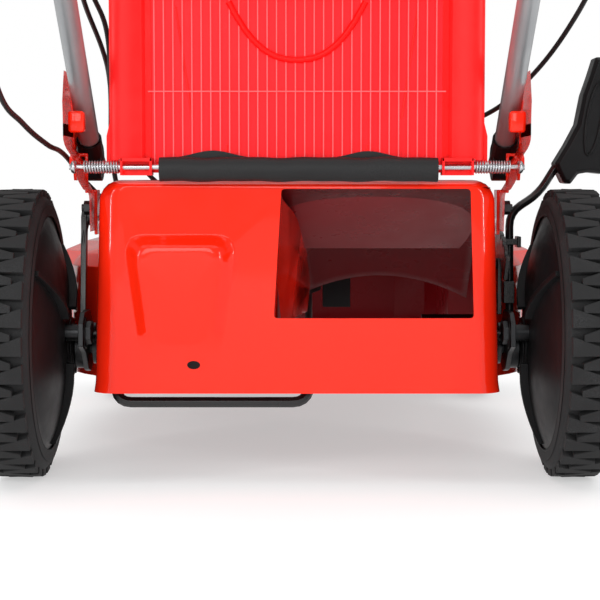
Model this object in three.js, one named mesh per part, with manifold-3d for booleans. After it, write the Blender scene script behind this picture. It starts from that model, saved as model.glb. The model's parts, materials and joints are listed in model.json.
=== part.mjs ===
// Walk-behind lawn mower with a rear discharge flap, a folding handle and central height adjustment.
// Millimetres, +Z up, +X to the operator's right. The operator walks behind, so +Y is forward.
// Y is counted from the rear axle while the pieces are made; the last lines move the whole object
// so that its origin is on the floor, under the middle of its length.

import * as THREE from "three";
import { mergeVertices } from "three/addons/utils/BufferGeometryUtils.js";
import Module from "manifold-3d";

const wasm = await Module();
wasm.setup();

// ---------------------------------------------------------------- driving dimensions

const GAP = 0.3; // left between pieces that touch
const ORIGIN_FORWARD = -28; // middle of the length, counted from the rear axle

const REAR = { radius: 140, inner: 240, outer: 292, bore: 104, facets: 32 };
const FRONT = { radius: 100, inner: 216, outer: 264, bore: 68, axleY: 640, axleZ: 100, facets: 28 };

const CRANK = { y: -40, z: 18 }; // wheel stub, counted from the height pivot
const PIVOT = { y: 40, z: 122 }; // rear height pivot, which is also the drive shaft's axis
const FRONT_PIVOT = { y: FRONT.axleY - CRANK.y, z: FRONT.axleZ - CRANK.z };
const LINK_PIN = { y: 15, z: 130 }; // link pin, counted from either pivot
const LINK_X = 205.5;

const DECK = {
  wall: 3,
  bottom: 88,
  shoulder: 200,
  top: 223,
  shoulderInset: 35,
  platformTop: 231,
  platformRadius: 120,
};
const BOX = { rear: -60, half: 191, topHalf: 186, top: 288, corner: 22, roofFront: 115, roofLow: 205 };
const MOUTH = { bottom: 159, top: 280, left: -21.7, right: 165.7, topLeft: -14.5, topRight: 161.7 };

const ENGINE = { x: 0, y: 340 };
const BLADE = { length: 508, width: 52, thick: 4, z: 106 };

const ROD = { y: -72, z: 300, radius: 2.5, half: 204 };
const FLAP = {
  half: 174, top: 474, bottom: 293, near: 12, wall: 3, rail: 27, knuckleIn: 133.5, knuckleOut: 162,
};

const HANDLE = { pivotY: 20, pivotZ: 306, rakeDeg: 52.2, half: 200, radius: 10, lowerEnd: 462, joint: 430 };
const UPPER = { half: 221, start: 408, end: 1000, corner: 60 };
const BRAKE_BAIL = { pivot: 890, leg: 108, half: 204, liftDeg: -45 };
const DRIVE_BAIL = { pivot: 870, leg: 126, half: 194, liftDeg: 45 };

// ---------------------------------------------------------------- finishes

const finish = (color, roughness, metalness = 0) => ({ color, roughness, metalness });
const RED_PAINT = finish(0xe3170f, 0.25, 0.1);
const RED_PLASTIC = finish(0xee1b12, 0.4);
const BLACK_PLASTIC = finish(0x1b1c1d, 0.55);
const BLACK_RUBBER = finish(0x202122, 0.8);
const TYRE_RUBBER = finish(0x2a2b2c, 0.9);
const BLACK_STEEL = finish(0x1f2021, 0.4, 0.6);
const GREY_STEEL = finish(0x4d5052, 0.45, 0.7);
const GREY_PAINT = finish(0x7d8082, 0.35, 0.4);
const ZINC = finish(0xc9ccd0, 0.25, 0.9);
const ALUMINIUM = finish(0x9a9da0, 0.5, 0.8);

// ---------------------------------------------------------------- solids

function facingOut(geometry) {
  const clean = geometry.index ? geometry.clone() : mergeVertices(geometry.clone());
  clean.deleteAttribute("normal");
  clean.deleteAttribute("uv");
  const merged = mergeVertices(clean, 1e-4);
  const p = merged.attributes.position;
  const index = merged.index.array;
  const [a, b, c] = [new THREE.Vector3(), new THREE.Vector3(), new THREE.Vector3()];
  let volume = 0;
  for (let i = 0; i < index.length; i += 3) {
    a.fromBufferAttribute(p, index[i]);
    b.fromBufferAttribute(p, index[i + 1]);
    c.fromBufferAttribute(p, index[i + 2]);
    volume += a.dot(b.cross(c));
  }
  if (volume < 0) {
    for (let i = 0; i < index.length; i += 3) {
      [index[i + 1], index[i + 2]] = [index[i + 2], index[i + 1]];
    }
  }
  return merged;
}

function toSolid(geometry) {
  const g = facingOut(geometry);
  return new wasm.Manifold(
    new wasm.Mesh({
      numProp: 3,
      vertProperties: new Float32Array(g.attributes.position.array),
      triVerts: new Uint32Array(g.index.array),
    }),
  );
}

function toGeometry(solid) {
  const mesh = solid.getMesh();
  const g = new THREE.BufferGeometry();
  g.setAttribute("position", new THREE.BufferAttribute(new Float32Array(mesh.vertProperties), 3));
  g.setIndex(new THREE.BufferAttribute(new Uint32Array(mesh.triVerts), 1));
  return g;
}

const join = (...pieces) => toGeometry(pieces.map(toSolid).reduce((a, b) => a.add(b)));
const cut = (piece, ...tools) => (
  toGeometry(tools.map(toSolid).reduce((a, b) => a.subtract(b), toSolid(piece)))
);
const common = (...pieces) => toGeometry(pieces.map(toSolid).reduce((a, b) => a.intersect(b)));

// The two X limits of something that lies between inner and outer on one side, lowest first.
const bySide = (side, inner, outer) => (side > 0 ? [inner, outer] : [-outer, -inner]);

function block(x0, x1, y0, y1, z0, z1) {
  const g = new THREE.BoxGeometry(x1 - x0, y1 - y0, z1 - z0);
  return g.translate((x0 + x1) / 2, (y0 + y1) / 2, (z0 + z1) / 2);
}

// Cylinder along X between x0 and x1.
function bar(radius, x0, x1, y, z, sides = 16) {
  const g = new THREE.CylinderGeometry(radius, radius, Math.abs(x1 - x0), sides);
  return g.rotateZ(Math.PI / 2).translate((x0 + x1) / 2, y, z);
}

// Cylinder along Z between z0 and z1.
function post(radius, z0, z1, x, y, sides = 24) {
  const g = new THREE.CylinderGeometry(radius, radius, z1 - z0, sides);
  return g.rotateX(Math.PI / 2).translate(x, y, (z0 + z1) / 2);
}

function outline(points) {
  return new THREE.Shape(points.map(([a, b]) => new THREE.Vector2(a, b)));
}

// Plate with a side outline in (y, z), between x0 and x1.
function sidePlate(points, x0, x1) {
  const depth = Math.abs(x1 - x0);
  const g = new THREE.ExtrudeGeometry(outline(points), { depth, bevelEnabled: false });
  return g.rotateX(Math.PI / 2).rotateZ(Math.PI / 2).translate(Math.min(x0, x1), 0, 0);
}

// Slab with a rear-view outline in (x, z), between y0 and y1.
function rearPlate(shape, y0, y1) {
  const g = new THREE.ExtrudeGeometry(shape, { depth: y1 - y0, bevelEnabled: false, curveSegments: 5 });
  return g.rotateX(Math.PI / 2).translate(0, y1, 0);
}

// Slab with a plan outline in (x, y); round > 0 also rounds its upper and lower edges.
function planSlab(points, z0, z1, round = 0, steps = 2) {
  const bevel = { bevelThickness: round, bevelSize: round, bevelOffset: -round, bevelSegments: steps };
  const options = { depth: z1 - z0 - 2 * round, bevelEnabled: round > 0, ...bevel };
  return new THREE.ExtrudeGeometry(outline(points), options).translate(0, 0, z0 + round);
}

// Solid of revolution about the X direction; the profile is a closed loop of [distance along X, radius].
function wheelSolid(profile, side, y, z, sides) {
  const loop = [...profile, profile[0]].map(([x, r]) => new THREE.Vector2(r, x));
  const halfFacet = Math.PI / sides; // puts a flat facet, not a corner, on the floor
  const g = new THREE.LatheGeometry(loop, sides, halfFacet);
  return g.rotateZ(-Math.PI / 2).scale(side, 1, 1).translate(0, y, z);
}

// Corner radius of a regular polygon whose flats lie at the given radius.
const cornerRadius = (radius, sides) => radius / Math.cos(Math.PI / sides);

// Closed solid of revolution about Z; the profile runs from axis to axis as [radius, height].
function turned(profile, x, y, sides = 32) {
  const loop = profile.map(([r, h]) => new THREE.Vector2(r, h));
  return new THREE.LatheGeometry(loop, sides).rotateX(Math.PI / 2).translate(x, y, 0);
}

// Straight-sided path that turns only at its listed points, for tubes that are mostly straight.
class Route extends THREE.Curve {
  constructor(points) {
    super();
    this.points = points;
  }
  getPoint(t, target = new THREE.Vector3()) {
    const place = t * (this.points.length - 1);
    const i = Math.min(Math.floor(place), this.points.length - 2);
    return target.lerpVectors(this.points[i], this.points[i + 1], place - i);
  }
  getPointAt(u, target) {
    return this.getPoint(u, target);
  }
  getTangentAt(u, target = new THREE.Vector3()) {
    const last = this.points.length - 1;
    const i = Math.round(u * last);
    const before = this.points[Math.max(i - 1, 0)];
    const after = this.points[Math.min(i + 1, last)];
    const here = this.points[i];
    const incoming = here.clone().sub(i > 0 ? before : after).normalize();
    const outgoing = (i < last ? after : before).clone().sub(here).normalize();
    if (i === 0) incoming.copy(outgoing);
    if (i === last) outgoing.copy(incoming);
    return target.copy(incoming).add(outgoing).normalize();
  }
  getSpacedPoints(divisions) {
    return this.getPoints(divisions);
  }
}

// Rounds the corners of a list of points with the given bend radius.
function bent(points, radius, steps = 4) {
  const corners = points.map((p) => new THREE.Vector3(...p));
  const result = [corners[0]];
  for (let i = 1; i < corners.length - 1; i++) {
    const toBefore = corners[i - 1].clone().sub(corners[i]);
    const toAfter = corners[i + 1].clone().sub(corners[i]);
    const reach = Math.min(radius, toBefore.length() * 0.45, toAfter.length() * 0.45);
    const start = corners[i].clone().addScaledVector(toBefore.normalize(), reach);
    const end = corners[i].clone().addScaledVector(toAfter.normalize(), reach);
    result.push(...new THREE.QuadraticBezierCurve3(start, corners[i], end).getPoints(steps));
  }
  result.push(corners[corners.length - 1]);
  return result;
}

function roundSection(radius, sides) {
  const turn = (2 * Math.PI) / sides;
  return outline(
    Array.from({ length: sides }, (_, i) => [radius * Math.cos(i * turn), radius * Math.sin(i * turn)]),
  );
}

function sweep(points, radius, sides) {
  const extrudePath = new Route(points);
  return new THREE.ExtrudeGeometry(roundSection(radius, sides), { steps: points.length - 1, extrudePath });
}

const tube = (points, radius, bend, sides = 10) => sweep(bent(points, bend), radius, sides);

// Cable through smooth points.
function cable(points, steps) {
  const curve = new THREE.CatmullRomCurve3(points.map((p) => new THREE.Vector3(...p)), false, "centripetal");
  return sweep(curve.getSpacedPoints(steps), 2.5, 5);
}

// ---------------------------------------------------------------- scene graph

const mower = new THREE.Group();

function add(name, geometry, look, parent = mower) {
  const mesh = new THREE.Mesh(facingOut(geometry), new THREE.MeshStandardMaterial(look));
  mesh.name = name;
  parent.add(mesh);
}

const SIDES = [
  [-1, "left"],
  [1, "right"],
];

// Pieces of the handle are made in a raked frame: +Z runs up the tubes, +Y is their upper face.
const rake = new THREE.Group();
rake.position.set(0, HANDLE.pivotY, HANDLE.pivotZ);
rake.rotation.x = THREE.MathUtils.degToRad(HANDLE.rakeDeg);
mower.add(rake);

function onHandle(x, w, u) {
  const angle = THREE.MathUtils.degToRad(HANDLE.rakeDeg);
  const y = HANDLE.pivotY + w * Math.cos(angle) - u * Math.sin(angle);
  const z = HANDLE.pivotZ + w * Math.sin(angle) + u * Math.cos(angle);
  return [x, y, z];
}

// ---------------------------------------------------------------- deck

function deckPlan(inset) {
  const half = [
    [191, 62],
    [221, 98],
    [234, 120],
    [241, 160],
    [262, 190],
    [266, 225],
    [266, 430],
    [252, 480],
    [226, 512],
    [200, 532],
    [196, 560],
    [196, 660],
    [182, 698],
    [140, 722],
  ];
  const pulled = half.map(([x, y], i) => {
    const [ax, ay] = half[Math.max(i - 1, 0)];
    const [bx, by] = half[Math.min(i + 1, half.length - 1)];
    const length = Math.hypot(bx - ax, by - ay);
    return [x - (inset * (by - ay)) / length, y + (inset * (bx - ax)) / length];
  });
  return [...pulled, ...pulled.map(([x, y]) => [-x, y]).reverse()];
}

// Main pressing: straight skirt, then three facets that lean in to the flat top.
function deckBody(thick) {
  const levels = [
    [DECK.shoulder - thick / 2, 0],
    [DECK.shoulder + 13 - thick, DECK.shoulderInset * 0.3],
    [DECK.top - thick, DECK.shoulderInset],
  ];
  const low = DECK.bottom - (thick > 0 ? 10 : 0);
  const rings = [[low, 0], ...levels].map(([z, inset]) =>
    deckPlan(thick + inset).map(([x, y]) => new THREE.Vector3(x, y, z)),
  );
  const count = rings[0].length;
  const position = rings.flat().flatMap((v) => [v.x, v.y, v.z]);
  const flat = THREE.ShapeUtils.triangulateShape(
    rings[0].map((v) => new THREE.Vector2(v.x, v.y)),
    [],
  );
  const lid = count * (rings.length - 1);
  const faces = flat.flatMap(([a, b, c]) => [a, c, b, lid + a, lid + b, lid + c]);
  for (let r = 0; r < rings.length - 1; r++) {
    for (let i = 0; i < count; i++) {
      const j = (i + 1) % count;
      const [a, b, c, d] = [r * count + i, r * count + j, (r + 1) * count + j, (r + 1) * count + i];
      faces.push(a, b, c, a, c, d);
    }
  }
  const g = new THREE.BufferGeometry();
  g.setAttribute("position", new THREE.Float32BufferAttribute(position, 3));
  g.setIndex(faces);
  return g;
}

// Rear box: rear-view outline with rounded upper corners, under a roof that falls towards the front.
function rearBox(thick) {
  const half = BOX.half - thick;
  const topHalf = BOX.topHalf - thick;
  const top = BOX.top - thick;
  const r = BOX.corner;
  const low = DECK.bottom - (thick > 0 ? 10 : 0);
  const view = new THREE.Shape();
  view.moveTo(-half, low);
  view.lineTo(half, low);
  view.lineTo(topHalf, top - r);
  view.quadraticCurveTo(topHalf, top, topHalf - r, top);
  view.lineTo(-topHalf + r, top);
  view.quadraticCurveTo(-topHalf, top, -topHalf, top - r);
  const front = 150;
  const side = [
    [BOX.rear + thick, low],
    [front, low],
    [front, BOX.roofLow - thick - 16],
    [BOX.roofFront, BOX.roofLow - thick],
    [BOX.rear + 24, top],
    [BOX.rear + thick + 7, top - 3],
    [BOX.rear + thick + 1, top - 10],
    [BOX.rear + thick, top - 20],
  ];
  return common(rearPlate(view, BOX.rear, front + 20), sidePlate(side, -half - 1, half + 1));
}

function mouth() {
  const m = MOUTH;
  const r = 5;
  const shape = new THREE.Shape();
  shape.moveTo(m.left, m.bottom);
  shape.lineTo(m.right, m.bottom);
  shape.lineTo(m.topRight, m.top - r);
  shape.quadraticCurveTo(m.topRight, m.top, m.topRight - r, m.top);
  shape.lineTo(m.topLeft + r, m.top);
  shape.quadraticCurveTo(m.topLeft, m.top, m.topLeft, m.top - r);
  return rearPlate(shape, BOX.rear - 15, BOX.rear + 15);
}

function deck() {
  const bulge = common(
    rearPlate(outline([[-142, 127], [-77, 127], [-59, 232], [-159, 232]]), BOX.rear - 20, BOX.rear + 2),
    sidePlate([
      [BOX.rear + 1, 127], [BOX.rear + 1, 236], [BOX.rear, 232], [BOX.rear - 10, 218], [BOX.rear, 127],
    ], -170, -50),
  );
  const chute = planSlab([[-24, BOX.rear + 2], [-21, BOX.rear + 2], [9, 150], [6, 150]], 142, 196);
  const chuteTop = common(
    planSlab([[-24, BOX.rear + 2], [-21, BOX.rear + 2], [2, 100], [-1, 100]], 190, 290),
    rearBox(DECK.wall / 2),
  );
  const platform = post(DECK.platformRadius, DECK.top - 2, DECK.platformTop, ENGINE.x, ENGINE.y, 32);
  const inner = join(rearBox(DECK.wall), deckBody(DECK.wall));
  const shell = cut(join(rearBox(0), deckBody(0), platform), inner);
  const ears = [-1, 1].map((side) =>
    sidePlate([[664, 70], [696, 70], [700, 104], [660, 104]], side * 189, side * 194),
  );
  const shaftHole = bar(9, -230, 230, PIVOT.y, PIVOT.z, 16);
  const axleHole = bar(6.6, -230, 230, FRONT_PIVOT.y, FRONT_PIVOT.z, 16);
  const crankHole = post(20, DECK.top - 10, DECK.platformTop + 5, ENGINE.x, ENGINE.y, 24);
  const slot = block(-103, -91, BOX.rear - 10, BOX.rear + 10, 111, 119);
  return cut(join(shell, bulge, chute, chuteTop, ...ears), mouth(), shaftHole, axleHole, crankHole, slot);
}

add("deck", deck(), RED_PAINT);

// Bar that keeps feet and stones away from the rear edge.
add(
  "foot_guard",
  tube([[-176, -28, 104], [-170, -38, 77], [8, -38, 77], [16, -28, 104]], 5.2, 12, 8),
  BLACK_STEEL,
);

// Guard beside the engine pulley.
add("belt_guard", block(30, 62, 302, 330, 142, DECK.top - DECK.wall - GAP), BLACK_PLASTIC);

// ---------------------------------------------------------------- brackets, hinge rod and flap

function bracket(side) {
  const plate = sidePlate(
    [[44, 288], [50, 312], [30, 334], [-44, 388], [-62, 390], [-80, 372], [-80, 311], [-12, 311], [0, 288]],
    side * 213,
    side * 216,
  );
  const web = block(...bySide(side, 200.5, 216), -80, -12, 311, 314);
  const ear = sidePlate([[-80, 276], [-12, 276], [-12, 314], [-80, 314]], side * 200.5, side * 203.5);
  const step = block(...bySide(side, 192, 203.5), -55, -12, 276, 279);
  const foot = sidePlate([[-55, 236], [4, 236], [10, 279], [-55, 279]], side * 192, side * 195);
  const stud = bar(4, side * 188, side * 216, HANDLE.pivotY, HANDLE.pivotZ, 12);
  const nut = bar(8, side * 215, side * 222, HANDLE.pivotY, HANDLE.pivotZ, 6);
  const rodHole = bar(3, side * 190, side * 220, ROD.y, ROD.z, 12);
  return cut(join(plate, web, ear, step, foot, stud, nut), rodHole);
}

function hingeRod() {
  const caps = [-1, 1].map((side) => bar(6, side * 204, side * 210, ROD.y, ROD.z, 12));
  return join(bar(ROD.radius, -ROD.half - 1, ROD.half + 1, ROD.y, ROD.z, 12), ...caps);
}

// Torsion spring as the sleeve that its turns fill.
function spring(side) {
  const [x0, x1] = [side * 163.5, side * 198];
  return cut(bar(5.5, x0, x1, ROD.y, ROD.z, 14), bar(3.1, side * 150, side * 210, ROD.y, ROD.z, 12));
}

function hingeSeal() {
  const circle = roundSection(1, 14).getPoints();
  const section = circle.map((p) => [ROD.y - 0.5 + 7.5 * p.x, ROD.z - 0.7 + 10.4 * p.y]);
  return cut(sidePlate(section, -130, 133), bar(3.1, -140, 140, ROD.y, ROD.z, 12));
}

function flap() {
  const { half, top, bottom, near, wall, rail, knuckleIn, knuckleOut } = FLAP;
  const back = ROD.y + near;
  const panel = block(-half, half, back, back + wall, bottom, top);
  const rails = [-1, 1].map((side) => {
    const [x0, x1] = [side * (half - rail), side * half].sort((a, b) => a - b);
    return block(x0, x1, back - 9, back + 1, 314, top);
  });
  const head = block(-half, half, back - 9, back + 1, top - 12, top);
  const knuckles = [-1, 1].map((side) => {
    const [x0, x1] = [side * knuckleIn, side * knuckleOut].sort((a, b) => a - b);
    return block(x0, x1, ROD.y - 6, back + 1, ROD.z - 6, ROD.z + 6);
  });
  return cut(join(panel, ...rails, head, ...knuckles), bar(3, -170, 170, ROD.y, ROD.z, 12));
}

add("hinge_rod", hingeRod(), ZINC);
add("hinge_seal", hingeSeal(), BLACK_RUBBER);
add("rear_flap", flap(), RED_PLASTIC);
for (const [side, name] of SIDES) {
  add(`bracket_${name}`, bracket(side), RED_PAINT);
  add(`spring_${name}`, spring(side), ZINC);
}

// ---------------------------------------------------------------- wheels and height adjustment

function rearTyre(side) {
  const tread = cornerRadius(REAR.radius, REAR.facets);
  const profile = [
    [252, REAR.bore], [247, 119], [REAR.inner, 119], [REAR.inner, 130], [249, tread],
    [284, tread], [REAR.outer, 130], [REAR.outer, REAR.bore],
  ];
  return wheelSolid(profile, side, 0, REAR.radius, REAR.facets);
}

function rearRim(side) {
  const profile = [
    [234, 8.6], [234, 18], [256, 20], [256, 57.4], [236, 57.4], [236, 62], [256, 62], [256, REAR.bore - GAP],
    [288, REAR.bore - GAP], [270, 92], [270, 34], [296, 24], [296, 0.5], [290, 0.5], [290, 8.6],
  ];
  return wheelSolid(profile, side, 0, REAR.radius, REAR.facets);
}

function dustCover(side) {
  const profile = [
    [226, 8.5], [226, 42], [231, 76], [242, 116], [245, 116], [234, 75], [229, 41], [229, 8.5],
  ];
  const dome = wheelSolid(profile, side, 0, REAR.radius, 28);
  const boss = bar(25, side * 221, side * 230.5, PIVOT.y, PIVOT.z, 20);
  const shaftRoom = bar(7, side * 218, side * 236, PIVOT.y, PIVOT.z, 12);
  const stubRoom = bar(8.5, side * 215, side * 236, 0, REAR.radius, 12);
  return cut(join(dome, boss), shaftRoom, stubRoom);
}

// Rear crank arm; the wheel's stub is welded to it.
function rearArm(side) {
  const { y, z } = PIVOT;
  const plate = sidePlate(
    [
      [-20, 128], [-18, 150], [-4, 160], [38, 160], [56, 146],
      [63, 122], [56, 104], [40, 98], [22, 102], [2, 120],
    ],
    side * 206,
    side * 211,
  );
  const bush = bar(21, side * 210, side * 220, y, z, 24);
  const stub = bar(8, side * 206, side * 289, 0, REAR.radius, 16);
  return cut(join(plate, bush, stub), bar(7, side * 200, side * 225, y, z, 16));
}

function leftArm() {
  const pin = { y: PIVOT.y + LINK_PIN.y, z: PIVOT.z + LINK_PIN.z };
  const strut = sidePlate(
    [
      [34, 152], [46, 152], [60, 240], [pin.y + 7, pin.z + 2],
      [pin.y, pin.z + 7], [pin.y - 7, pin.z], [48, 238],
    ],
    -210.5,
    -216,
  );
  return join(rearArm(-1), strut, bar(4, -201, -215, pin.y, pin.z, 12));
}

const LEVER_PATH = [[212.5, 42, 148], [212.5, 50, 256], [243, 58, 275], [262, 58, 306]];

function rightArm() {
  return join(rearArm(1), tube(LEVER_PATH, 4.2, 14, 8));
}

function leverGrip() {
  const grip = rearPlate(
    outline([[247, 296], [262, 282], [276, 286], [306, 330], [306, 404], [294, 414], [282, 408], [262, 352]]),
    40,
    76,
  );
  const socket = tube([LEVER_PATH[2], LEVER_PATH[3], [268, 58, 316]], 4.6, 4, 8);
  return cut(grip, socket);
}

// Front crank axle in one piece; the left arm also carries the upright for the link.
function frontAxle() {
  const { y, z } = FRONT_PIVOT;
  const pin = { y: y + LINK_PIN.y, z: z + LINK_PIN.z };
  const arms = [-1, 1].flatMap((side) => [
    sidePlate([
      [628, 92], [630, 110], [648, 114], [686, 96], [692, 80], [680, 70], [666, 72],
    ], side * 209.3, side * 213.3),
    bar(7, side * 209.3, side * 261, FRONT.axleY, FRONT.axleZ, 14),
  ]);
  const upright = sidePlate(
    [[672, 90], [688, 90], [pin.y + 7, pin.z], [pin.y, pin.z + 7], [pin.y - 7, pin.z]],
    -209.3,
    -213.3,
  );
  return join(bar(6, -211, 211, y, z, 14), ...arms, upright, bar(4, -201, -212, pin.y, pin.z, 12));
}

function heightLink() {
  const back = { y: PIVOT.y + LINK_PIN.y, z: PIVOT.z + LINK_PIN.z };
  const front = { y: FRONT_PIVOT.y + LINK_PIN.y, z: FRONT_PIVOT.z + LINK_PIN.z };
  const rise = 264;
  const x = -LINK_X;
  const rod = tube([
    [x, back.y, back.z], [x, back.y + 55, rise], [x, front.y - 135, rise], [x, front.y, front.z],
  ], 3, 20, 8);
  const eyes = [back, front].map((p) => bar(9, x - 3, x + 3, p.y, p.z, 16));
  const holes = [back, front].map((p) => bar(5, x - 8, x + 8, p.y, p.z, 14));
  return cut(join(rod, ...eyes), ...holes);
}

function bearingPlate(side) {
  const plate = sidePlate(
    [[24, 88.5], [50, 88.5], [59, 106], [59, 140], [50, 152], [22, 152], [10, 140], [10, 106]],
    side * 193,
    side * 197,
  );
  const flange = bar(16.5, side * 196, side * 203, PIVOT.y, PIVOT.z, 24);
  return cut(join(plate, flange), bar(7, side * 185, side * 210, PIVOT.y, PIVOT.z, 16));
}

// Toothed quadrant beside the lever, concentric with the height pivot.
function indexPlate() {
  const arc = (radius, from, to, steps) =>
    Array.from({ length: steps + 1 }, (_, i) => {
      const angle = THREE.MathUtils.degToRad(from + ((to - from) * i) / steps);
      return [PIVOT.y + radius * Math.cos(angle), PIVOT.z + radius * Math.sin(angle)];
    });
  const sector = sidePlate([...arc(118, 75, 130, 8), ...arc(92, 130, 75, 6)], 198.3, 202.3);
  const leg = sidePlate([[24, 156], [54, 156], [54, 224], [24, 224]], 198.3, 202.3);
  const notches = Array.from({ length: 6 }, (_, i) => {
    const [y, z] = arc(118, 80 + i * 9, 80 + i * 9, 1)[0];
    return block(190, 206, y - 2.5, y + 2.5, z - 4, z + 8);
  });
  const spacers = [170, 205].map((z) => bar(6, 192.3, 199, 40, z, 10));
  return cut(join(sector, leg, ...spacers), ...notches);
}

// Drive shaft with a pinion at each end, inside the dust covers.
function driveShaft() {
  const pinions = [-1, 1].map((side) => bar(12.9, side * 235, side * 243, PIVOT.y, PIVOT.z, 24));
  return join(bar(6, -242, 242, PIVOT.y, PIVOT.z, 14), ...pinions);
}

function frontTyre(side) {
  const { inner, outer, bore } = FRONT;
  const tread = cornerRadius(FRONT.radius, FRONT.facets);
  const profile = [
    [inner + 6, bore], [inner, 78], [inner, 93], [inner + 8, tread],
    [outer - 8, tread], [outer, 93], [outer, 78], [outer - 6, bore],
  ];
  return wheelSolid(profile, side, FRONT.axleY, FRONT.axleZ, FRONT.facets);
}

function frontRim(side) {
  const profile = [
    [216, 7.6], [216, 18], [232, 20], [232, 60], [223, FRONT.bore - GAP], [257, FRONT.bore - GAP],
    [246, 56], [246, 24], [266, 18], [266, 0.5], [262, 0.5], [262, 7.6],
  ];
  return wheelSolid(profile, side, FRONT.axleY, FRONT.axleZ, FRONT.facets);
}

add("height_arm_left", leftArm(), GREY_STEEL);
add("height_arm_right", rightArm(), GREY_STEEL);
add("height_lever_grip", leverGrip(), BLACK_PLASTIC);
add("height_link", heightLink(), BLACK_STEEL);
add("height_index_plate", indexPlate(), BLACK_STEEL);
add("front_axle", frontAxle(), BLACK_STEEL);
add("drive_shaft", driveShaft(), GREY_STEEL);
for (const [side, name] of SIDES) {
  add(`bearing_plate_${name}`, bearingPlate(side), BLACK_STEEL);
  add(`dust_cover_${name}`, dustCover(side), BLACK_PLASTIC);
  add(`rear_tyre_${name}`, rearTyre(side), TYRE_RUBBER);
  add(`rear_rim_${name}`, rearRim(side), BLACK_PLASTIC);
  add(`front_tyre_${name}`, frontTyre(side), TYRE_RUBBER);
  add(`front_rim_${name}`, frontRim(side), BLACK_PLASTIC);
}

// ---------------------------------------------------------------- engine, drive and blade

function chamfered(x0, x1, y0, y1, c) {
  return [
    [x0 + c, y0], [x1 - c, y0], [x1, y0 + c], [x1, y1 - c],
    [x1 - c, y1], [x0 + c, y1], [x0, y1 - c], [x0, y0 + c],
  ];
}

function crankcase() {
  const base = planSlab(chamfered(-84, 84, 256, 424, 26), DECK.platformTop + GAP, 296);
  const cylinder = block(20, 128, 296, 384, 262, 352);
  const fins = Array.from({ length: 5 }, (_, i) => block(96 + i * 8, 99 + i * 8, 284, 396, 256, 358));
  const top = post(60, 290, 340, ENGINE.x, ENGINE.y, 24);
  return cut(join(base, cylinder, top, ...fins), post(13, 200, 380, ENGINE.x, ENGINE.y, 20));
}

function shroud() {
  const outer = planSlab(chamfered(-110, 150, 214, 466, 46), 306, 402, 10);
  const inner = planSlab(chamfered(-106, 146, 218, 462, 44), 290, 398, 8);
  return cut(outer, inner, post(64, 390, 410, ENGINE.x, ENGINE.y, 32));
}

function starterHousing() {
  const outer = turned([[0, 402.3], [104, 402.3], [104, 416], [92, 432], [0, 442]], ENGINE.x, ENGINE.y, 28);
  const inner = turned([[0, 395], [97, 395], [97, 414], [0, 432]], ENGINE.x, ENGINE.y, 24);
  const ropeExit = block(52, 68, ENGINE.y - 110, ENGINE.y - 60, 408, 420);
  return cut(outer, inner, ropeExit);
}

function fuelTank() {
  const body = planSlab(chamfered(-182, -110 - GAP, 236, 444, 24), 304, 388, 10);
  return join(body, post(19, 380, 400, -146, 300, 20), post(26, 396, 412, -146, 300, 24));
}

function muffler() {
  const body = planSlab(chamfered(-30, 92, 470, 520, 12), 258, 322, 6);
  const pipe = post(11, 0, 52, 0, 0, 12).rotateX(-Math.PI / 2).translate(30, 424 + GAP, 280);
  return join(body, pipe);
}

function gearbox() {
  const body = planSlab(chamfered(-82, -36, 12, 76, 8), 98, 150, 4);
  const neck = post(12, 146, 156, -59, 44, 16);
  return cut(join(body, neck), bar(7, -120, 0, PIVOT.y, PIVOT.z, 16));
}

const BELT = { z0: 160, z1: 169, x: -59, y: 44, radius: 28, engineRadius: 23, width: 6 };

// V belt as one loop round both pulleys.
function driveBelt() {
  const dx = ENGINE.x - BELT.x;
  const dy = ENGINE.y - BELT.y;
  const heading = Math.atan2(dy, dx);
  const lean = Math.asin((BELT.radius - BELT.engineRadius) / Math.hypot(dx, dy));
  const half = (cx, cy, radius, from, steps) =>
    Array.from({ length: steps + 1 }, (_, i) => {
      const angle = from + (Math.PI * i) / steps;
      return [cx + radius * Math.cos(angle), cy + radius * Math.sin(angle)];
    });
  const loop = (extra) => [
    ...half(BELT.x, BELT.y, BELT.radius + extra, heading + Math.PI / 2 - lean, 8),
    ...half(ENGINE.x, ENGINE.y, BELT.engineRadius + extra, heading - Math.PI / 2 + lean, 8),
  ];
  return cut(planSlab(loop(BELT.width), BELT.z0, BELT.z1), planSlab(loop(0), BELT.z0 - 5, BELT.z1 + 5));
}

function pulley(beltRadius, z0, z1, x, y) {
  const slack = 1.2; // the belt's facets cut inside its round
  return post(beltRadius - slack, z0, z1, x, y, 28);
}

function crankshaft() {
  const shaft = post(12, 172.3, 392, ENGINE.x, ENGINE.y, 20);
  return join(shaft, post(88, 370, 384, ENGINE.x, ENGINE.y, 36));
}

function bladeAdapter() {
  const z = BLADE.z + BLADE.thick;
  const hub = post(18, z + GAP, 172, ENGINE.x, ENGINE.y, 20);
  const groove = pulley(BELT.engineRadius, BELT.z0, BELT.z1, ENGINE.x, ENGINE.y);
  const bolt = join(
    post(5.5, BLADE.z - 6, z + 2, ENGINE.x, ENGINE.y, 10),
    post(10, BLADE.z - 8, BLADE.z - GAP, ENGINE.x, ENGINE.y, 6),
  );
  return join(hub, groove, bolt);
}

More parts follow.
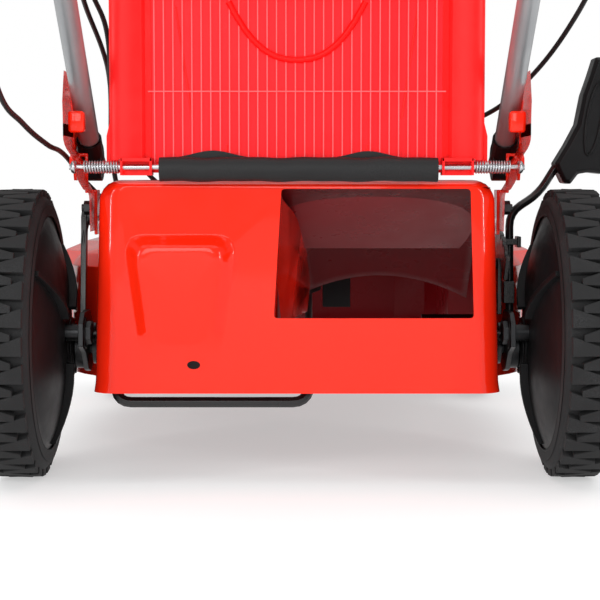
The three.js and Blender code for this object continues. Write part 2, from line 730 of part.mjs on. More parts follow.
// Flat bar with a lifted trailing edge at each tip.
function blade() {
  const half = BLADE.length / 2;
  const flat = block(
    ENGINE.x - half, ENGINE.x + half,
    ENGINE.y - BLADE.width / 2, ENGINE.y + BLADE.width / 2,
    BLADE.z, BLADE.z + BLADE.thick,
  );
  const lifts = [-1, 1].map((side) => {
    const y = ENGINE.y + (side * BLADE.width) / 2;
    const wing = sidePlate([
      [y - side * 12, BLADE.z + 0.5], [y, BLADE.z + 0.5], [y + side * 8, BLADE.z + 22],
      [y + side * 4, BLADE.z + 22], [y - side * 12, BLADE.z + 3.5],
    ], 150, half);
    return side > 0 ? wing : wing.scale(-1, 1, 1);
  });
  return cut(join(flat, ...lifts), post(6, BLADE.z - 5, BLADE.z + 10, ENGINE.x, ENGINE.y, 12));
}

add("crankcase", crankcase(), ALUMINIUM);
add("engine_shroud", shroud(), BLACK_PLASTIC);
add("starter_housing", starterHousing(), BLACK_PLASTIC);
add("fuel_tank", fuelTank(), BLACK_PLASTIC);
add("muffler", muffler(), GREY_STEEL);
add("air_filter_cover", planSlab(chamfered(150 + GAP, 192, 262, 352, 12), 300, 372, 6), BLACK_PLASTIC);
add("gearbox", gearbox(), ALUMINIUM);
add("gearbox_pulley", pulley(BELT.radius, BELT.z0 - 3, BELT.z1 + 2, BELT.x, BELT.y), GREY_STEEL);
add("drive_belt", driveBelt(), BLACK_RUBBER);
add("crankshaft", crankshaft(), GREY_STEEL);
add("blade_adapter", bladeAdapter(), GREY_STEEL);
add("blade", blade(), GREY_STEEL);

// ---------------------------------------------------------------- handle, in the raked frame

const along = (radius, u0, u1, x, w = 0, sides = 14) => post(radius, u0, u1, x, w, sides);

function jointHole(x0, x1) {
  return bar(4, x0, x1, 0, HANDLE.joint, 12);
}

function lowerTube(side) {
  const x = side * HANDLE.half;
  return cut(along(HANDLE.radius, 20, HANDLE.lowerEnd, x), jointHole(x - 15, x + 15));
}

// Round plastic foot that the tube is pressed into, turning on the bracket's stud.
function tubeEnd(side) {
  const x = side * HANDLE.half;
  const disc = bar(18.5, side * 190.5, side * 207, 0, 0, 24);
  const sleeve = along(12.3, 0, 36, x, 0, 16);
  const tubeSocket = along(HANDLE.radius + GAP, 19.7, 60, x, 0, 14);
  return cut(join(disc, sleeve), tubeSocket, bar(4.4, side * 180, side * 214, 0, 0, 12));
}

function upperHandle() {
  const { half, start, end, corner } = UPPER;
  const path = [[-half, 0, start], [-half, 0, end], [half, 0, end], [half, 0, start]];
  const points = bent(path, corner, 6);
  return cut(sweep(points, HANDLE.radius, 12), jointHole(-250, 250));
}

function foamGrip() {
  return cut(bar(14, -150, 150, 0, UPPER.end, 20), bar(HANDLE.radius + GAP, -160, 160, 0, UPPER.end, 14));
}

function knob(side) {
  const stud = bar(3.5, side * 188, side * 234, 0, HANDLE.joint, 10);
  const base = bar(14, side * 231.6, side * 240, 0, HANDLE.joint, 16);
  const wing = block(...bySide(side, 239, 254), -5, 5, HANDLE.joint - 22, HANDLE.joint + 22);
  return join(stud, base, wing);
}

function bail({ pivot, leg, half, liftDeg }) {
  const lift = THREE.MathUtils.degToRad(liftDeg);
  const tip = [-leg * Math.sin(lift), pivot + leg * Math.cos(lift)];
  const outer = UPPER.half - HANDLE.radius - GAP;
  const ends = [-1, 1].map((side) => bar(4, side * half, side * outer, 0, pivot, 10));
  const knees = [-1, 1].map((side) => bar(5, side * (half - 4), side * (half + 4), 0, pivot, 12));
  const wire = tube([[-half, 0, pivot], [-half, ...tip], [half, ...tip], [half, 0, pivot]], 4, 24, 8);
  return join(wire, ...ends, ...knees);
}

function controlPanel() {
  const slot = block(189, 199, 0, 30, 758, 792);
  return cut(planSlab(chamfered(176, 210.4, -14, 15, 5), 740, 812, 3), slot);
}

const throttleLever = () => join(block(191, 197, 14, 52, 771, 779), block(187, 201, 50, 60, 769, 781));

function ropeGuide() {
  const ring = new THREE.TorusGeometry(9, 2.5, 6, 12).translate(160, 0, 400);
  const arm = bar(3, 169, 189.5, 0, 400, 10);
  const pad = block(186.5, 189.6, -6, 6, 390, 410);
  return join(ring, arm, pad);
}

function starterHandle() {
  return join(along(4.5, 406, 424, 160, 0, 12), bar(9, 132, 187, 0, 426, 14));
}

for (const [side, name] of SIDES) {
  add(`lower_tube_${name}`, lowerTube(side), GREY_PAINT, rake);
  add(`tube_end_${name}`, tubeEnd(side), BLACK_PLASTIC, rake);
  add(`knob_${name}`, knob(side), BLACK_PLASTIC, rake);
}
add("rope_guide", ropeGuide(), BLACK_STEEL, rake);
add("upper_handle", upperHandle(), GREY_PAINT, rake);
add("handle_grip", foamGrip(), BLACK_RUBBER, rake);
add("brake_bail", bail(BRAKE_BAIL), BLACK_STEEL, rake);
add("drive_bail", bail(DRIVE_BAIL), BLACK_STEEL, rake);
add("control_panel", controlPanel(), BLACK_PLASTIC, rake);
add("throttle_lever", throttleLever(), BLACK_PLASTIC, rake);
add("starter_handle", starterHandle(), BLACK_PLASTIC, rake);

// ---------------------------------------------------------------- cables and rope

const CABLES = {
  brake_cable: [
    [-88, 296, 268], [-150, 236, 282], [-191, 170, 352], [-196, 100, 411], [-206, 10, 461], [-206, -110, 512],
    onHandle(-206, 34, 390), onHandle(-207, 16, 500), onHandle(-207, 5, 580), onHandle(-207, 5, 840),
  ],
  speed_cable: [
    [-170, 80, 236], [-187, 84, 300], [-188, 70, 380], [-189, 50, 436], [-198, 5, 470], [-196, -110, 524],
    onHandle(-192, 42, 400), onHandle(-197, 22, 520), onHandle(-200.5, 5, 620), onHandle(-200.5, 5, 835),
  ],
  drive_cable: [
    [-158, 96, 231], [-184, 98, 254], [-214, 78, 286], [-227, 22, 312], [-232, -60, 321], [-239, -150, 337],
    [-245, -230, 360], [-248, -310, 440],
    onHandle(-246, -12, 500), onHandle(-236, 0, 590), onHandle(-235, 0, 830),
  ],
  throttle_cable: [
    [128, 224, 340], [156, 196, 344], [196, 150, 356], [228, 76, 384], [262, 10, 434], [282, -60, 492],
    [276, -170, 560], onHandle(250, 22, 500),
    onHandle(236, 4, 600), onHandle(235, 9, 690), onHandle(226, 16, 728),
    onHandle(216, 17.5, 760),
  ],
};
for (const [name, points] of Object.entries(CABLES)) {
  add(name, cable(points, 26), BLACK_RUBBER);
}
const ropeEnds = [new THREE.Vector3(60, 262, 414), new THREE.Vector3(...onHandle(160, 0, 399))];
add("starter_rope", sweep(ropeEnds, 2, 8), BLACK_RUBBER);

mower.position.set(0, -ORIGIN_FORWARD, 0);
mower.updateMatrixWorld(true);

export default mower;
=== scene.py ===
"""Walk-behind lawn mower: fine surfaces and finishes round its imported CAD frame.

Every length is in metres, in the frame's own axes: +X to the operator's right, +Y forward, +Z up.
"""

import json
import logging
import math
from dataclasses import dataclass
from enum import Enum
from typing import Any, Callable, Sequence

import bmesh
import bpy
from mathutils import Matrix, Vector


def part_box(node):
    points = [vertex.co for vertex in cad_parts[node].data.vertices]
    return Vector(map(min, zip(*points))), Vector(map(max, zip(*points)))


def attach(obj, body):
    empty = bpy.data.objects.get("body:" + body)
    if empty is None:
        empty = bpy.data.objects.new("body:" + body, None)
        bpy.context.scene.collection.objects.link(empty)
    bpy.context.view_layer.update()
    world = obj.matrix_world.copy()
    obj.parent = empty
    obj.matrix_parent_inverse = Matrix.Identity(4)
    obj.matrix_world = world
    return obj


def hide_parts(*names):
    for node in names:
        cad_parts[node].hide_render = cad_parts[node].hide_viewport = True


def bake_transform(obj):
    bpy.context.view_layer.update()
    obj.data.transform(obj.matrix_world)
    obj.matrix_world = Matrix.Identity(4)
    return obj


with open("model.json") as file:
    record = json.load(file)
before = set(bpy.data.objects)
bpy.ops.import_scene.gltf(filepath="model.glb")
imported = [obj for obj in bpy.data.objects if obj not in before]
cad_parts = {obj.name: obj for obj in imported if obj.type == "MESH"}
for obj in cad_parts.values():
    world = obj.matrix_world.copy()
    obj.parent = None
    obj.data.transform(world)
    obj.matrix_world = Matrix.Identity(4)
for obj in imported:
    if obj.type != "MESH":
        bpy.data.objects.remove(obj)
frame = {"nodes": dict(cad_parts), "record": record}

LOG = logging.getLogger("mower")
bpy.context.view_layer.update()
SIDES = ((-1, "left"), (1, "right"))
Point = Sequence[float]
Pair = tuple[float, float]
Verts = list[bmesh.types.BMVert]
Colour = tuple[float, float, float]

REAR_AXLE_Y = sum(corner.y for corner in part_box("rear_tyre_left")) / 2
HANDLE_FOOT = Vector((0.0, REAR_AXLE_Y + 0.020, 0.306))
HANDLE_RAKE = math.radians(52.2)


def by_axle(x: float, ahead: float, z: float) -> Vector:
    """A point whose Y is counted from the rear axle."""
    return Vector((x, REAR_AXLE_Y + ahead, z))


def on_handle(x: float, w: float, u: float) -> Vector:
    """Places a point on the raked handle.

    Args:
        x: distance to the right of the middle.
        w: height above the tubes' own plane.
        u: distance up the tubes from their lower pivot.

    Returns:
        The point in the frame.
    """
    up = Vector((0.0, -math.sin(HANDLE_RAKE), math.cos(HANDLE_RAKE)))
    out = Vector((0.0, math.cos(HANDLE_RAKE), math.sin(HANDLE_RAKE)))
    return HANDLE_FOOT + Vector((x, 0.0, 0.0)) + w * out + u * up


# ---------------------------------------------------------------- shader helpers


class Signal:
    """A shader socket on which Python arithmetic adds Math nodes."""

    def __init__(self, mixer: "Mixer", socket: bpy.types.NodeSocket) -> None:
        """Wraps one output socket of a mixer's node tree."""
        self.mixer = mixer
        self.socket = socket

    def _math(self, operation: str, first: Any, second: Any) -> "Signal":
        """Adds one Math node and returns its output."""
        node = self.mixer.node("ShaderNodeMath", {"operation": operation}, {0: first, 1: second})
        return Signal(self.mixer, node.outputs[0])

    def __add__(self, other: Any) -> "Signal":
        """Adds a number or a signal."""
        return self._math("ADD", self, other)

    __radd__ = __add__

    def __rsub__(self, other: Any) -> "Signal":
        """Takes this signal away from a number."""
        return self._math("SUBTRACT", other, self)

    def __mul__(self, other: Any) -> "Signal":
        """Multiplies by a number or a signal."""
        return self._math("MULTIPLY", self, other)

    __rmul__ = __mul__

    def between(self, low: float, high: float, to_low: float = 0.0, to_high: float = 1.0) -> "Signal":
        """Maps low..high onto to_low..to_high, held at both ends."""
        node = self.mixer.node(
            "ShaderNodeMapRange",
            {"clamp": True},
            {"Value": self, "From Min": low, "From Max": high, "To Min": to_low, "To Max": to_high},
        )
        return Signal(self.mixer, node.outputs["Result"])


class Mixer:
    """One node material while it is put together."""

    def __init__(self, name: str) -> None:
        """Starts an empty material with one shader and its output."""
        self.material = bpy.data.materials.new(name)
        self.material.use_nodes = True
        self.tree = self.material.node_tree
        self.tree.nodes.clear()
        self.shader = self.tree.nodes.new("ShaderNodeBsdfPrincipled")
        output = self.tree.nodes.new("ShaderNodeOutputMaterial")
        self.tree.links.new(self.shader.outputs[0], output.inputs[0])
        self.place = self.node("ShaderNodeTexCoord", {}, {}).outputs["Object"]

    def plug(self, socket: bpy.types.NodeSocket, value: Any) -> None:
        """Links a signal or socket to an input, or sets a plain value on it."""
        if isinstance(value, Signal):
            value = value.socket
        if isinstance(value, bpy.types.NodeSocket):
            self.tree.links.new(value, socket)
        else:
            socket.default_value = value

    def node(self, kind: str, settings: dict[str, Any], inputs: dict[Any, Any]) -> bpy.types.Node:
        """Adds any node.

        Args:
            kind: the node's type.
            settings: its own properties, set first.
            inputs: values or links of its sockets, by name or number.

        Returns:
            The new node.
        """
        node = self.tree.nodes.new(kind)
        for key, value in settings.items():
            setattr(node, key, value)
        for key, value in inputs.items():
            self.plug(node.inputs[key], value)
        return node

    def noise(self, scale: float, detail: float = 2.0, stretch: Point = (1.0, 1.0, 1.0)) -> Signal:
        """Smooth noise with that many features to a metre, stretched along the axes."""
        place = self.node("ShaderNodeMapping", {}, {"Vector": self.place, "Scale": stretch})
        node = self.node(
            "ShaderNodeTexNoise", {}, {"Vector": place.outputs[0], "Scale": scale, "Detail": detail}
        )
        return Signal(self, node.outputs[0])

    def cells(self, scale: float) -> Signal:
        """Distance to the nearest point of a cell pattern, for leathery and pebbled grain."""
        node = self.node("ShaderNodeTexVoronoi", {}, {"Vector": self.place, "Scale": scale})
        return Signal(self, node.outputs["Distance"])

    def tint(self, mask: Signal, first: Colour, second: Colour) -> bpy.types.NodeSocket:
        """Blends two colours by a mask."""
        node = self.node(
            "ShaderNodeMix",
            {"data_type": "RGBA"},
            {"Factor": mask, 6: (*first, 1.0), 7: (*second, 1.0)},
        )
        return node.outputs[2]

    def bump(self, height: Signal, depth: float) -> bpy.types.NodeSocket:
        """Raises the surface by height times depth."""
        node = self.node("ShaderNodeBump", {}, {"Height": height, "Distance": depth, "Strength": 1.0})
        return node.outputs[0]

    def dress(self, **values: Any) -> bpy.types.Material:
        """Sets the shader's sockets, named with underscores for spaces, and returns the material."""
        for key, value in values.items():
            self.plug(self.shader.inputs[key.replace("_", " ")], value)
        return self.material


def stand(name: str, data: bpy.types.ID) -> bpy.types.Object:
    """Makes an object from its data and puts it in the scene."""
    made = bpy.data.objects.new(name, data)
    bpy.context.scene.collection.objects.link(made)
    return made


def shade(colour: Colour, factor: float) -> Colour:
    """A colour made lighter or darker by a factor."""
    return (colour[0] * factor, colour[1] * factor, colour[2] * factor)


# ---------------------------------------------------------------- finishes


@dataclass(frozen=True)
class GlossPaint:
    """Stoved gloss paint on pressed steel, with faint orange peel and a clear top coat."""

    name: str
    colour: Colour
    roughness: float = 0.2
    coat: float = 0.8

    def mixed(self) -> bpy.types.Material:
        """Returns the node material."""
        mixer = Mixer(self.name)
        peel = mixer.noise(260.0, 2.0)
        cloud = mixer.noise(9.0, 3.0).between(0.35, 0.65)
        base = mixer.tint(cloud, self.colour, shade(self.colour, 0.94))
        rough = mixer.noise(35.0, 3.0).between(0.3, 0.7, self.roughness * 0.8, self.roughness * 1.25)
        return mixer.dress(
            Base_Color=base,
            Roughness=rough,
            Specular_IOR_Level=0.1,
            Coat_Weight=self.coat,
            Coat_Roughness=0.04,
            Coat_IOR=1.36,
            Normal=mixer.bump(peel, 0.00002),
        )


@dataclass(frozen=True)
class Moulding:
    """Injection-moulded plastic with a fine spark-eroded grain."""

    name: str
    colour: Colour
    roughness: float = 0.45
    grain: float = 1600.0
    depth: float = 0.00006

    def mixed(self) -> bpy.types.Material:
        """Returns the node material."""
        mixer = Mixer(self.name)
        grain = mixer.cells(self.grain)
        scuff = mixer.noise(60.0, 4.0).between(0.35, 0.7)
        base = mixer.tint(scuff, self.colour, shade(self.colour, 1.18))
        rough = scuff * 0.1 + (self.roughness - 0.05)
        return mixer.dress(
            Base_Color=base,
            Roughness=rough,
            Specular_IOR_Level=0.14,
            Normal=mixer.bump(grain, self.depth),
        )


@dataclass(frozen=True)
class Rubber:
    """Matt black rubber with a dusty bloom and a pebbled skin."""

    name: str
    colour: Colour
    bloom: Colour
    roughness: float = 0.72
    grain: float = 900.0
    depth: float = 0.00012

    def mixed(self) -> bpy.types.Material:
        """Returns the node material."""
        mixer = Mixer(self.name)
        speckle = mixer.noise(self.grain, 3.0)
        dust = mixer.noise(28.0, 5.0).between(0.45, 0.75)
        base = mixer.tint(dust * speckle.between(0.4, 0.65), self.colour, self.bloom)
        rough = self.roughness + dust * 0.12
        return mixer.dress(
            Base_Color=base,
            Roughness=rough,
            Specular_IOR_Level=0.3,
            Normal=mixer.bump(speckle, self.depth),
        )


@dataclass(frozen=True)
class BareMetal:
    """Plated, ground or cast metal, with fine marks along one direction."""

    name: str
    colour: Colour
    roughness: float = 0.3
    marks: Point = (1.0, 1.0, 1.0)
    scale: float = 700.0
    depth: float = 0.00003

    def mixed(self) -> bpy.types.Material:
        """Returns the node material."""
        mixer = Mixer(self.name)
        marks = mixer.noise(self.scale, 4.0, self.marks)
        patch = mixer.noise(40.0, 3.0).between(0.35, 0.7)
        base = mixer.tint(patch, self.colour, shade(self.colour, 0.78))
        rough = marks.between(0.3, 0.7, self.roughness * 0.75, self.roughness * 1.3)
        return mixer.dress(
            Base_Color=base, Metallic=1.0, Roughness=rough, Normal=mixer.bump(marks, self.depth)
        )


@dataclass(frozen=True)
class PowderCoat:
    """Baked powder coat on tube or plate, with its fine leathery texture."""

    name: str
    colour: Colour
    roughness: float = 0.38
    metallic: float = 0.0

    def mixed(self) -> bpy.types.Material:
        """Returns the node material."""
        mixer = Mixer(self.name)
        texture = mixer.cells(1100.0)
        handled = mixer.noise(22.0, 4.0).between(0.4, 0.7)
        base = mixer.tint(handled, self.colour, shade(self.colour, 1.15))
        rough = self.roughness - handled * 0.08
        return mixer.dress(
            Base_Color=base,
            Metallic=self.metallic,
            Roughness=rough,
            Normal=mixer.bump(texture, 0.00005),
        )


Finish = GlossPaint | Moulding | Rubber | BareMetal | PowderCoat


class Slot(Enum):
    """The record's material slots, each with the finish that it gets."""

    RED_PAINT = GlossPaint("red_paint", (0.93, 0.020, 0.004))
    RED_PLASTIC = Moulding("red_plastic", (0.93, 0.014, 0.014), 0.34, 1500.0, 0.00003)
    BLACK_PLASTIC = Moulding("black_plastic", (0.007, 0.007, 0.0075), 0.40)
    BLACK_RUBBER = Rubber("black_rubber", (0.009, 0.009, 0.0095), (0.02, 0.02, 0.021), 0.5)
    TYRE_RUBBER = Rubber("tyre_rubber", (0.011, 0.011, 0.0115), (0.034, 0.034, 0.035))
    BLACK_STEEL = PowderCoat("black_steel", (0.006, 0.006, 0.0065), 0.3)
    GREY_STEEL = BareMetal("grey_steel", (0.045, 0.046, 0.048), 0.36)
    GREY_PAINT = PowderCoat("grey_paint", (0.3, 0.31, 0.32), 0.36, 0.55)
    ZINC = BareMetal("zinc", (0.55, 0.56, 0.58), 0.28)
    ALUMINIUM = BareMetal("aluminium", (0.55, 0.56, 0.57), 0.42, scale=300.0, depth=0.0001)


# A darker, almost unglossed copy of the red paint: painted shade for the deck's inner faces and the chute
# roof.
INSIDE_SHADE_PAINT = GlossPaint("red_paint_inside_shade", (0.19, 0.003, 0.006), 0.30, 0.06)
# Lighter red for the flap's ribs: a painted highlight along them.
RIB_HIGHLIGHT_RED = Moulding("red_plastic_rib_highlight", (0.95, 0.12, 0.13), 0.34, 1500.0, 0.00003)
# Deep red: painted shade in the flap's side grooves and along the hand pocket's edge.
SHADE_RED = Moulding("red_plastic_shade", (0.90, 0.004, 0.004), 0.34, 1500.0, 0.00003)
PALE_RED = Moulding("red_plastic_pale", (0.92, 0.012, 0.018), 0.34, 1500.0, 0.00003)
MATERIALS: dict[str, bpy.types.Material] = {}


def mixed_once(finish: Finish) -> bpy.types.Material:
    """The material of a finish, mixed on its first use."""
    if finish.name not in MATERIALS:
        MATERIALS[finish.name] = finish.mixed()
    return MATERIALS[finish.name]


def redress(made: bpy.types.Object, finish: Finish) -> None:
    """Gives a piece another finish than its slot's own."""
    made.data.materials.clear()
    made.data.materials.append(mixed_once(finish))


# ---------------------------------------------------------------- shape helpers


def rounded(points: Sequence[Point], bend: float, steps: int = 6) -> list[Vector]:
    """Rounds the corners of a path.

    Args:
        points: the path's corners.
        bend: how far before and after a corner its curve starts, at most half of each leg.
        steps: points on each curve.

    Returns:
        The path with a curve at each inner corner.
    """
    corners = [Vector(p) for p in points]
    path = [corners[0]]
    for before, corner, after in zip(corners, corners[1:], corners[2:]):
        reach = min(bend, (before - corner).length / 2, (after - corner).length / 2)
        start = corner + (before - corner).normalized() * reach
        end = corner + (after - corner).normalized() * reach
        for i in range(steps + 1):
            t = i / steps
            path.append((1 - t) ** 2 * start + 2 * t * (1 - t) * corner + t * t * end)
    return [*path, corners[-1]]


UNIT = (-0.5, 0.5)
SAME_POINT = 1e-7
SAME_CAD_POINT = 1e-6
FLAT_WITHIN = 0.5
X_AXIS = (1.0, 0.0, 0.0)
Z_AXIS = (0.0, 0.0, 1.0)


class Shape:
    """A mesh while it is modelled, with the steps that the sub-assemblies share."""

    def __init__(self) -> None:
        """Starts with nothing."""
        self.bm = bmesh.new()

    def box(self, x: Point, y: Point, z: Point) -> Verts:
        """Adds a block between pairs of limits and returns its corners."""
        size = Vector((x[1] - x[0], y[1] - y[0], z[1] - z[0]))
        middle = Vector((x[1] + x[0], y[1] + y[0], z[1] + z[0])) / 2
        matrix = Matrix.Translation(middle) @ Matrix.Diagonal((*size, 1.0))
        return bmesh.ops.create_cube(self.bm, size=1.0, matrix=matrix)["verts"]

    def side_box(self, side: int, x: Point, y: Point, z: Point) -> Verts:
        """Adds a block whose X limits are counted outwards from the middle, on one side."""
        return self.box(sorted(side * limit for limit in x), y, z)

    def rod(self, start: Point, end: Point, radius: float, sides: int = 32) -> Verts:
        """Adds a closed cylinder between two points and returns its vertices."""
        a, b = Vector(start), Vector(end)
        turn = (b - a).to_track_quat("Z", "Y").to_matrix().to_4x4()
        return bmesh.ops.create_cone(
            self.bm,
            cap_ends=True,
            segments=sides,
            radius1=radius,
            radius2=radius,
            depth=(b - a).length,
            matrix=Matrix.Translation((a + b) / 2) @ turn,
        )["verts"]

    def turned(self, profile: Sequence[Point], middle: Point, sides: int) -> None:
        """Spins a closed or axis-to-axis profile about a line along X.

        Args:
            profile: (along the axis, radius) pairs, in order.
            middle: a point on the axis, from which the profile is measured.
            sides: steps of the spin.
        """
        line, across, origin = Vector(X_AXIS), Vector(Z_AXIS), Vector(middle)
        verts = [self.bm.verts.new(origin + line * a + across * r) for a, r in profile]
        edges = [self.bm.edges.new(pair) for pair in zip(verts, verts[1:])]
        if min(r for _, r in (profile[0], profile[-1])) > SAME_CAD_POINT:
            edges.append(self.bm.edges.new((verts[-1], verts[0])))
        bmesh.ops.spin(
            self.bm,
            geom=verts + edges,
            cent=origin,
            axis=line,
            angle=math.tau,
            steps=sides,
            use_merge=True,
        )
        bmesh.ops.remove_doubles(self.bm, verts=self.bm.verts, dist=SAME_POINT)

    def plate(self, outline: Sequence[Point], push: Point) -> Verts:
        """Extrudes a flat outline along a vector and returns all of the plate's vertices."""
        face = self.bm.faces.new([self.bm.verts.new(p) for p in outline])
        grown = bmesh.ops.extrude_face_region(self.bm, geom=[face])["geom"]
        far = [g for g in grown if isinstance(g, bmesh.types.BMVert)]
        bmesh.ops.translate(self.bm, vec=Vector(push), verts=far)
        return [*face.verts, *far]

    def tube(self, path: Sequence[Point], radius: float, sides: int = 5, soft: bool = False) -> None:
        """Adds a round tube with closed ends along a path.

        Args:
            path: the points that it runs through.
            radius: the tube's own radius.
            sides: half as many sides as the section has, less two.
            soft: draws one smooth curve through the points instead of straight legs.
        """
        data = bpy.data.curves.new("path", "CURVE")
        data.dimensions = "3D"
        data.bevel_depth = radius
        data.bevel_resolution = sides
        data.use_fill_caps = True
        data.resolution_u = 12
        spline = data.splines.new("BEZIER" if soft else "POLY")
        knots = spline.bezier_points if soft else spline.points
        knots.add(len(path) - 1)
        for knot, point in zip(knots, path):
            if soft:
                knot.co = point
                knot.handle_left_type = knot.handle_right_type = "AUTO"
            else:
                knot.co = (*point, 1.0)
        holder = stand("path", data)
        mesh = bpy.data.meshes.new_from_object(
            holder.evaluated_get(bpy.context.evaluated_depsgraph_get())
        )
        bpy.data.objects.remove(holder)
        self.bm.from_mesh(mesh)
        bmesh.ops.remove_doubles(self.bm, verts=self.bm.verts, dist=SAME_POINT)

    def carry(self, node: str) -> None:
        """Copies a CAD node's mesh, merged, with its flat faces in one piece."""
        self.bm.from_mesh(frame["nodes"][node].data)
        bmesh.ops.remove_doubles(self.bm, verts=self.bm.verts, dist=SAME_CAD_POINT)
        bmesh.ops.dissolve_limit(
            self.bm, angle_limit=math.radians(FLAT_WITHIN), verts=self.bm.verts, edges=self.bm.edges
        )

    def strip(self, rows: Sequence[Sequence[bmesh.types.BMVert]]) -> list[bmesh.types.BMFace]:
        """Fills the squares between rows of vertices, one row after another."""
        return [
            self.bm.faces.new((near[i], near[i + 1], far[i + 1], far[i]))
            for near, far in zip(rows, rows[1:])
            for i in range(len(near) - 1)
        ]

    def halved(self, at: Point, facing: Point, **drop: bool) -> None:
        """Cuts the whole shape at a plane.

        Args:
            at: a point on the plane.
            facing: the plane's direction.
            drop: clear_outer or clear_inner, for the side ahead of the plane or behind it.
        """
        geom = self.bm.verts[:] + self.bm.edges[:] + self.bm.faces[:]
        bmesh.ops.bisect_plane(self.bm, geom=geom, plane_co=at, plane_no=facing, **drop)


@dataclass(frozen=True)
class Edge:
    """How a finished piece's edges are broken."""

    width: float = 0.0006
    segments: int = 2
    angle: float = 35.0
    outward: bool = True


SMOOTH = Edge(width=0.0, angle=50.0)


def piece(
    name: str,
    shape: Shape,
    slot: Slot,
    body: str | None,
    replaces: Sequence[str] = (),
    edge: Edge = Edge(),
) -> bpy.types.Object:
    """Finishes a shape as one piece of the mower.

    Args:
        name: the piece's name.
        shape: its modelled mesh, which is used up.
        slot: the material slot that dresses it.
        body: the body that it rides on, or None for one that rides on no body.
        replaces: the CAD nodes that it stands for.
        edge: how its edges are broken.

    Returns:
        The finished object.
    """
    if edge.outward:
        bmesh.ops.recalc_face_normals(shape.bm, faces=shape.bm.faces)
    mesh = bpy.data.meshes.new(name)
    shape.bm.to_mesh(mesh)
    shape.bm.free()
    mesh.shade_smooth()
    mesh.set_sharp_from_angle(angle=math.radians(edge.angle))
    mesh.materials.append(mixed_once(slot.value))
    made = stand(name, mesh)
    if edge.width > 0:
        bevel = made.modifiers.new("edges", "BEVEL")
        bevel.width = edge.width
        bevel.segments = edge.segments
        bevel.limit_method = "ANGLE"
        bevel.angle_limit = math.radians(edge.angle)
        bevel.use_clamp_overlap = False
        bevel.harden_normals = True
    if body:
        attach(made, body)
    if replaces:
        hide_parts(*replaces)
    LOG.info("%s: %d faces", name, len(mesh.polygons))
    return made


# ---------------------------------------------------------------- studio


@dataclass
class Studio:
    """Pale floor, soft white surround, soft lights and the camera behind the mower."""

    eye: Point = (0.0, REAR_AXLE_Y - 1.550, 0.2836)
    pitch: float = math.radians(4.12)
    focal: float = 95.8
    slide: float = 0.005
    sky: float = 0.42
    floor_glow: float = 0.46
    floor_half: float = 12.0
    sun: float = 1.45

    def camera(self) -> None:
        """Places the camera low behind the mower, level and a little downward."""
        data = bpy.data.cameras.new("camera")
        data.lens = self.focal
        data.sensor_width = 36.0
        data.shift_x = self.slide
        data.clip_start = 0.01
        made = stand("camera", data)
        made.location = self.eye
        made.rotation_euler = (math.radians(90.0) - self.pitch, 0.0, 0.0)
        bpy.context.scene.camera = made

    def lamp(
        self, name: str, place: Point, target: Point, size: float, power: float, height: float = 0.0
    ) -> None:
        """Adds one soft light, square or upright.

        Args:
            name: the light's name.
            place: where it stands.
            target: the point that it faces.
            size: the length of its side.
            power: its power in watts.
            height: its length upwards, if it is a strip.
        """
        data = bpy.data.lights.new(name, "AREA")
        data.size = size
        if height:
            data.shape = "RECTANGLE"
            data.size_y = height
        data.energy = power
        made = stand(name, data)
        made.location = place
        made.rotation_euler = (Vector(target) - Vector(place)).to_track_quat("-Z", "Y").to_euler()

    def daylight(self) -> None:
        """Adds one very soft light from straight above, even over the whole floor."""
        data = bpy.data.lights.new("overhead", "SUN")
        data.energy = self.sun
        data.angle = math.radians(80.0)
        stand("overhead", data).location = (0.0, 0.0, 3.0)

    def surround(self) -> None:
        """Makes the floor and the white surround, and keeps colours as they are mixed."""
        scene = bpy.context.scene
        scene.view_settings.view_transform = "Standard"
        world = bpy.data.worlds.new("surround")
        world.use_nodes = True
        tree = world.node_tree
        sky = tree.nodes["Background"]
        sky.inputs[0].default_value = (1.0, 1.0, 1.0, 1.0)
        seen = tree.nodes.new("ShaderNodeLightPath").outputs["Is Camera Ray"]
        strength = tree.nodes.new("ShaderNodeMapRange")
        strength.inputs["To Min"].default_value = self.sky
        strength.inputs["To Max"].default_value = 1.0
        tree.links.new(seen, strength.inputs["Value"])
        tree.links.new(strength.outputs[0], sky.inputs[1])
        scene.world = world
        bm = bmesh.new()
        bmesh.ops.create_grid(bm, x_segments=1, y_segments=1, size=self.floor_half)
        mesh = bpy.data.meshes.new("floor")
        bm.to_mesh(mesh)
        bm.free()
        mixer = Mixer("studio_floor")
        paper = mixer.noise(3.0, 2.0).between(0.3, 0.7, 0.85, 0.95)
        white = (1.0, 1.0, 1.0, 1.0)
        mesh.materials.append(
            mixer.dress(
                Base_Color=(0.6, 0.6, 0.6, 1.0),
                Roughness=paper,
                Emission_Color=white,
                Emission_Strength=self.floor_glow,
            )
        )
        stand("floor", mesh)

    def build(self) -> None:
        """Builds the whole studio."""
        self.camera()
        self.surround()
        self.lamp("rear_key", (-0.5, -3.2, 1.3), (0.0, 0.0, 0.2), 1.6, 34.0)
        for side, name in SIDES:
            self.lamp(f"{name}_strip", (side * 2.0, -1.45, 0.75), (0.0, 0.0, 0.25), 0.10, 17.0, 1.3)
        self.daylight()


# ---------------------------------------------------------------- deck


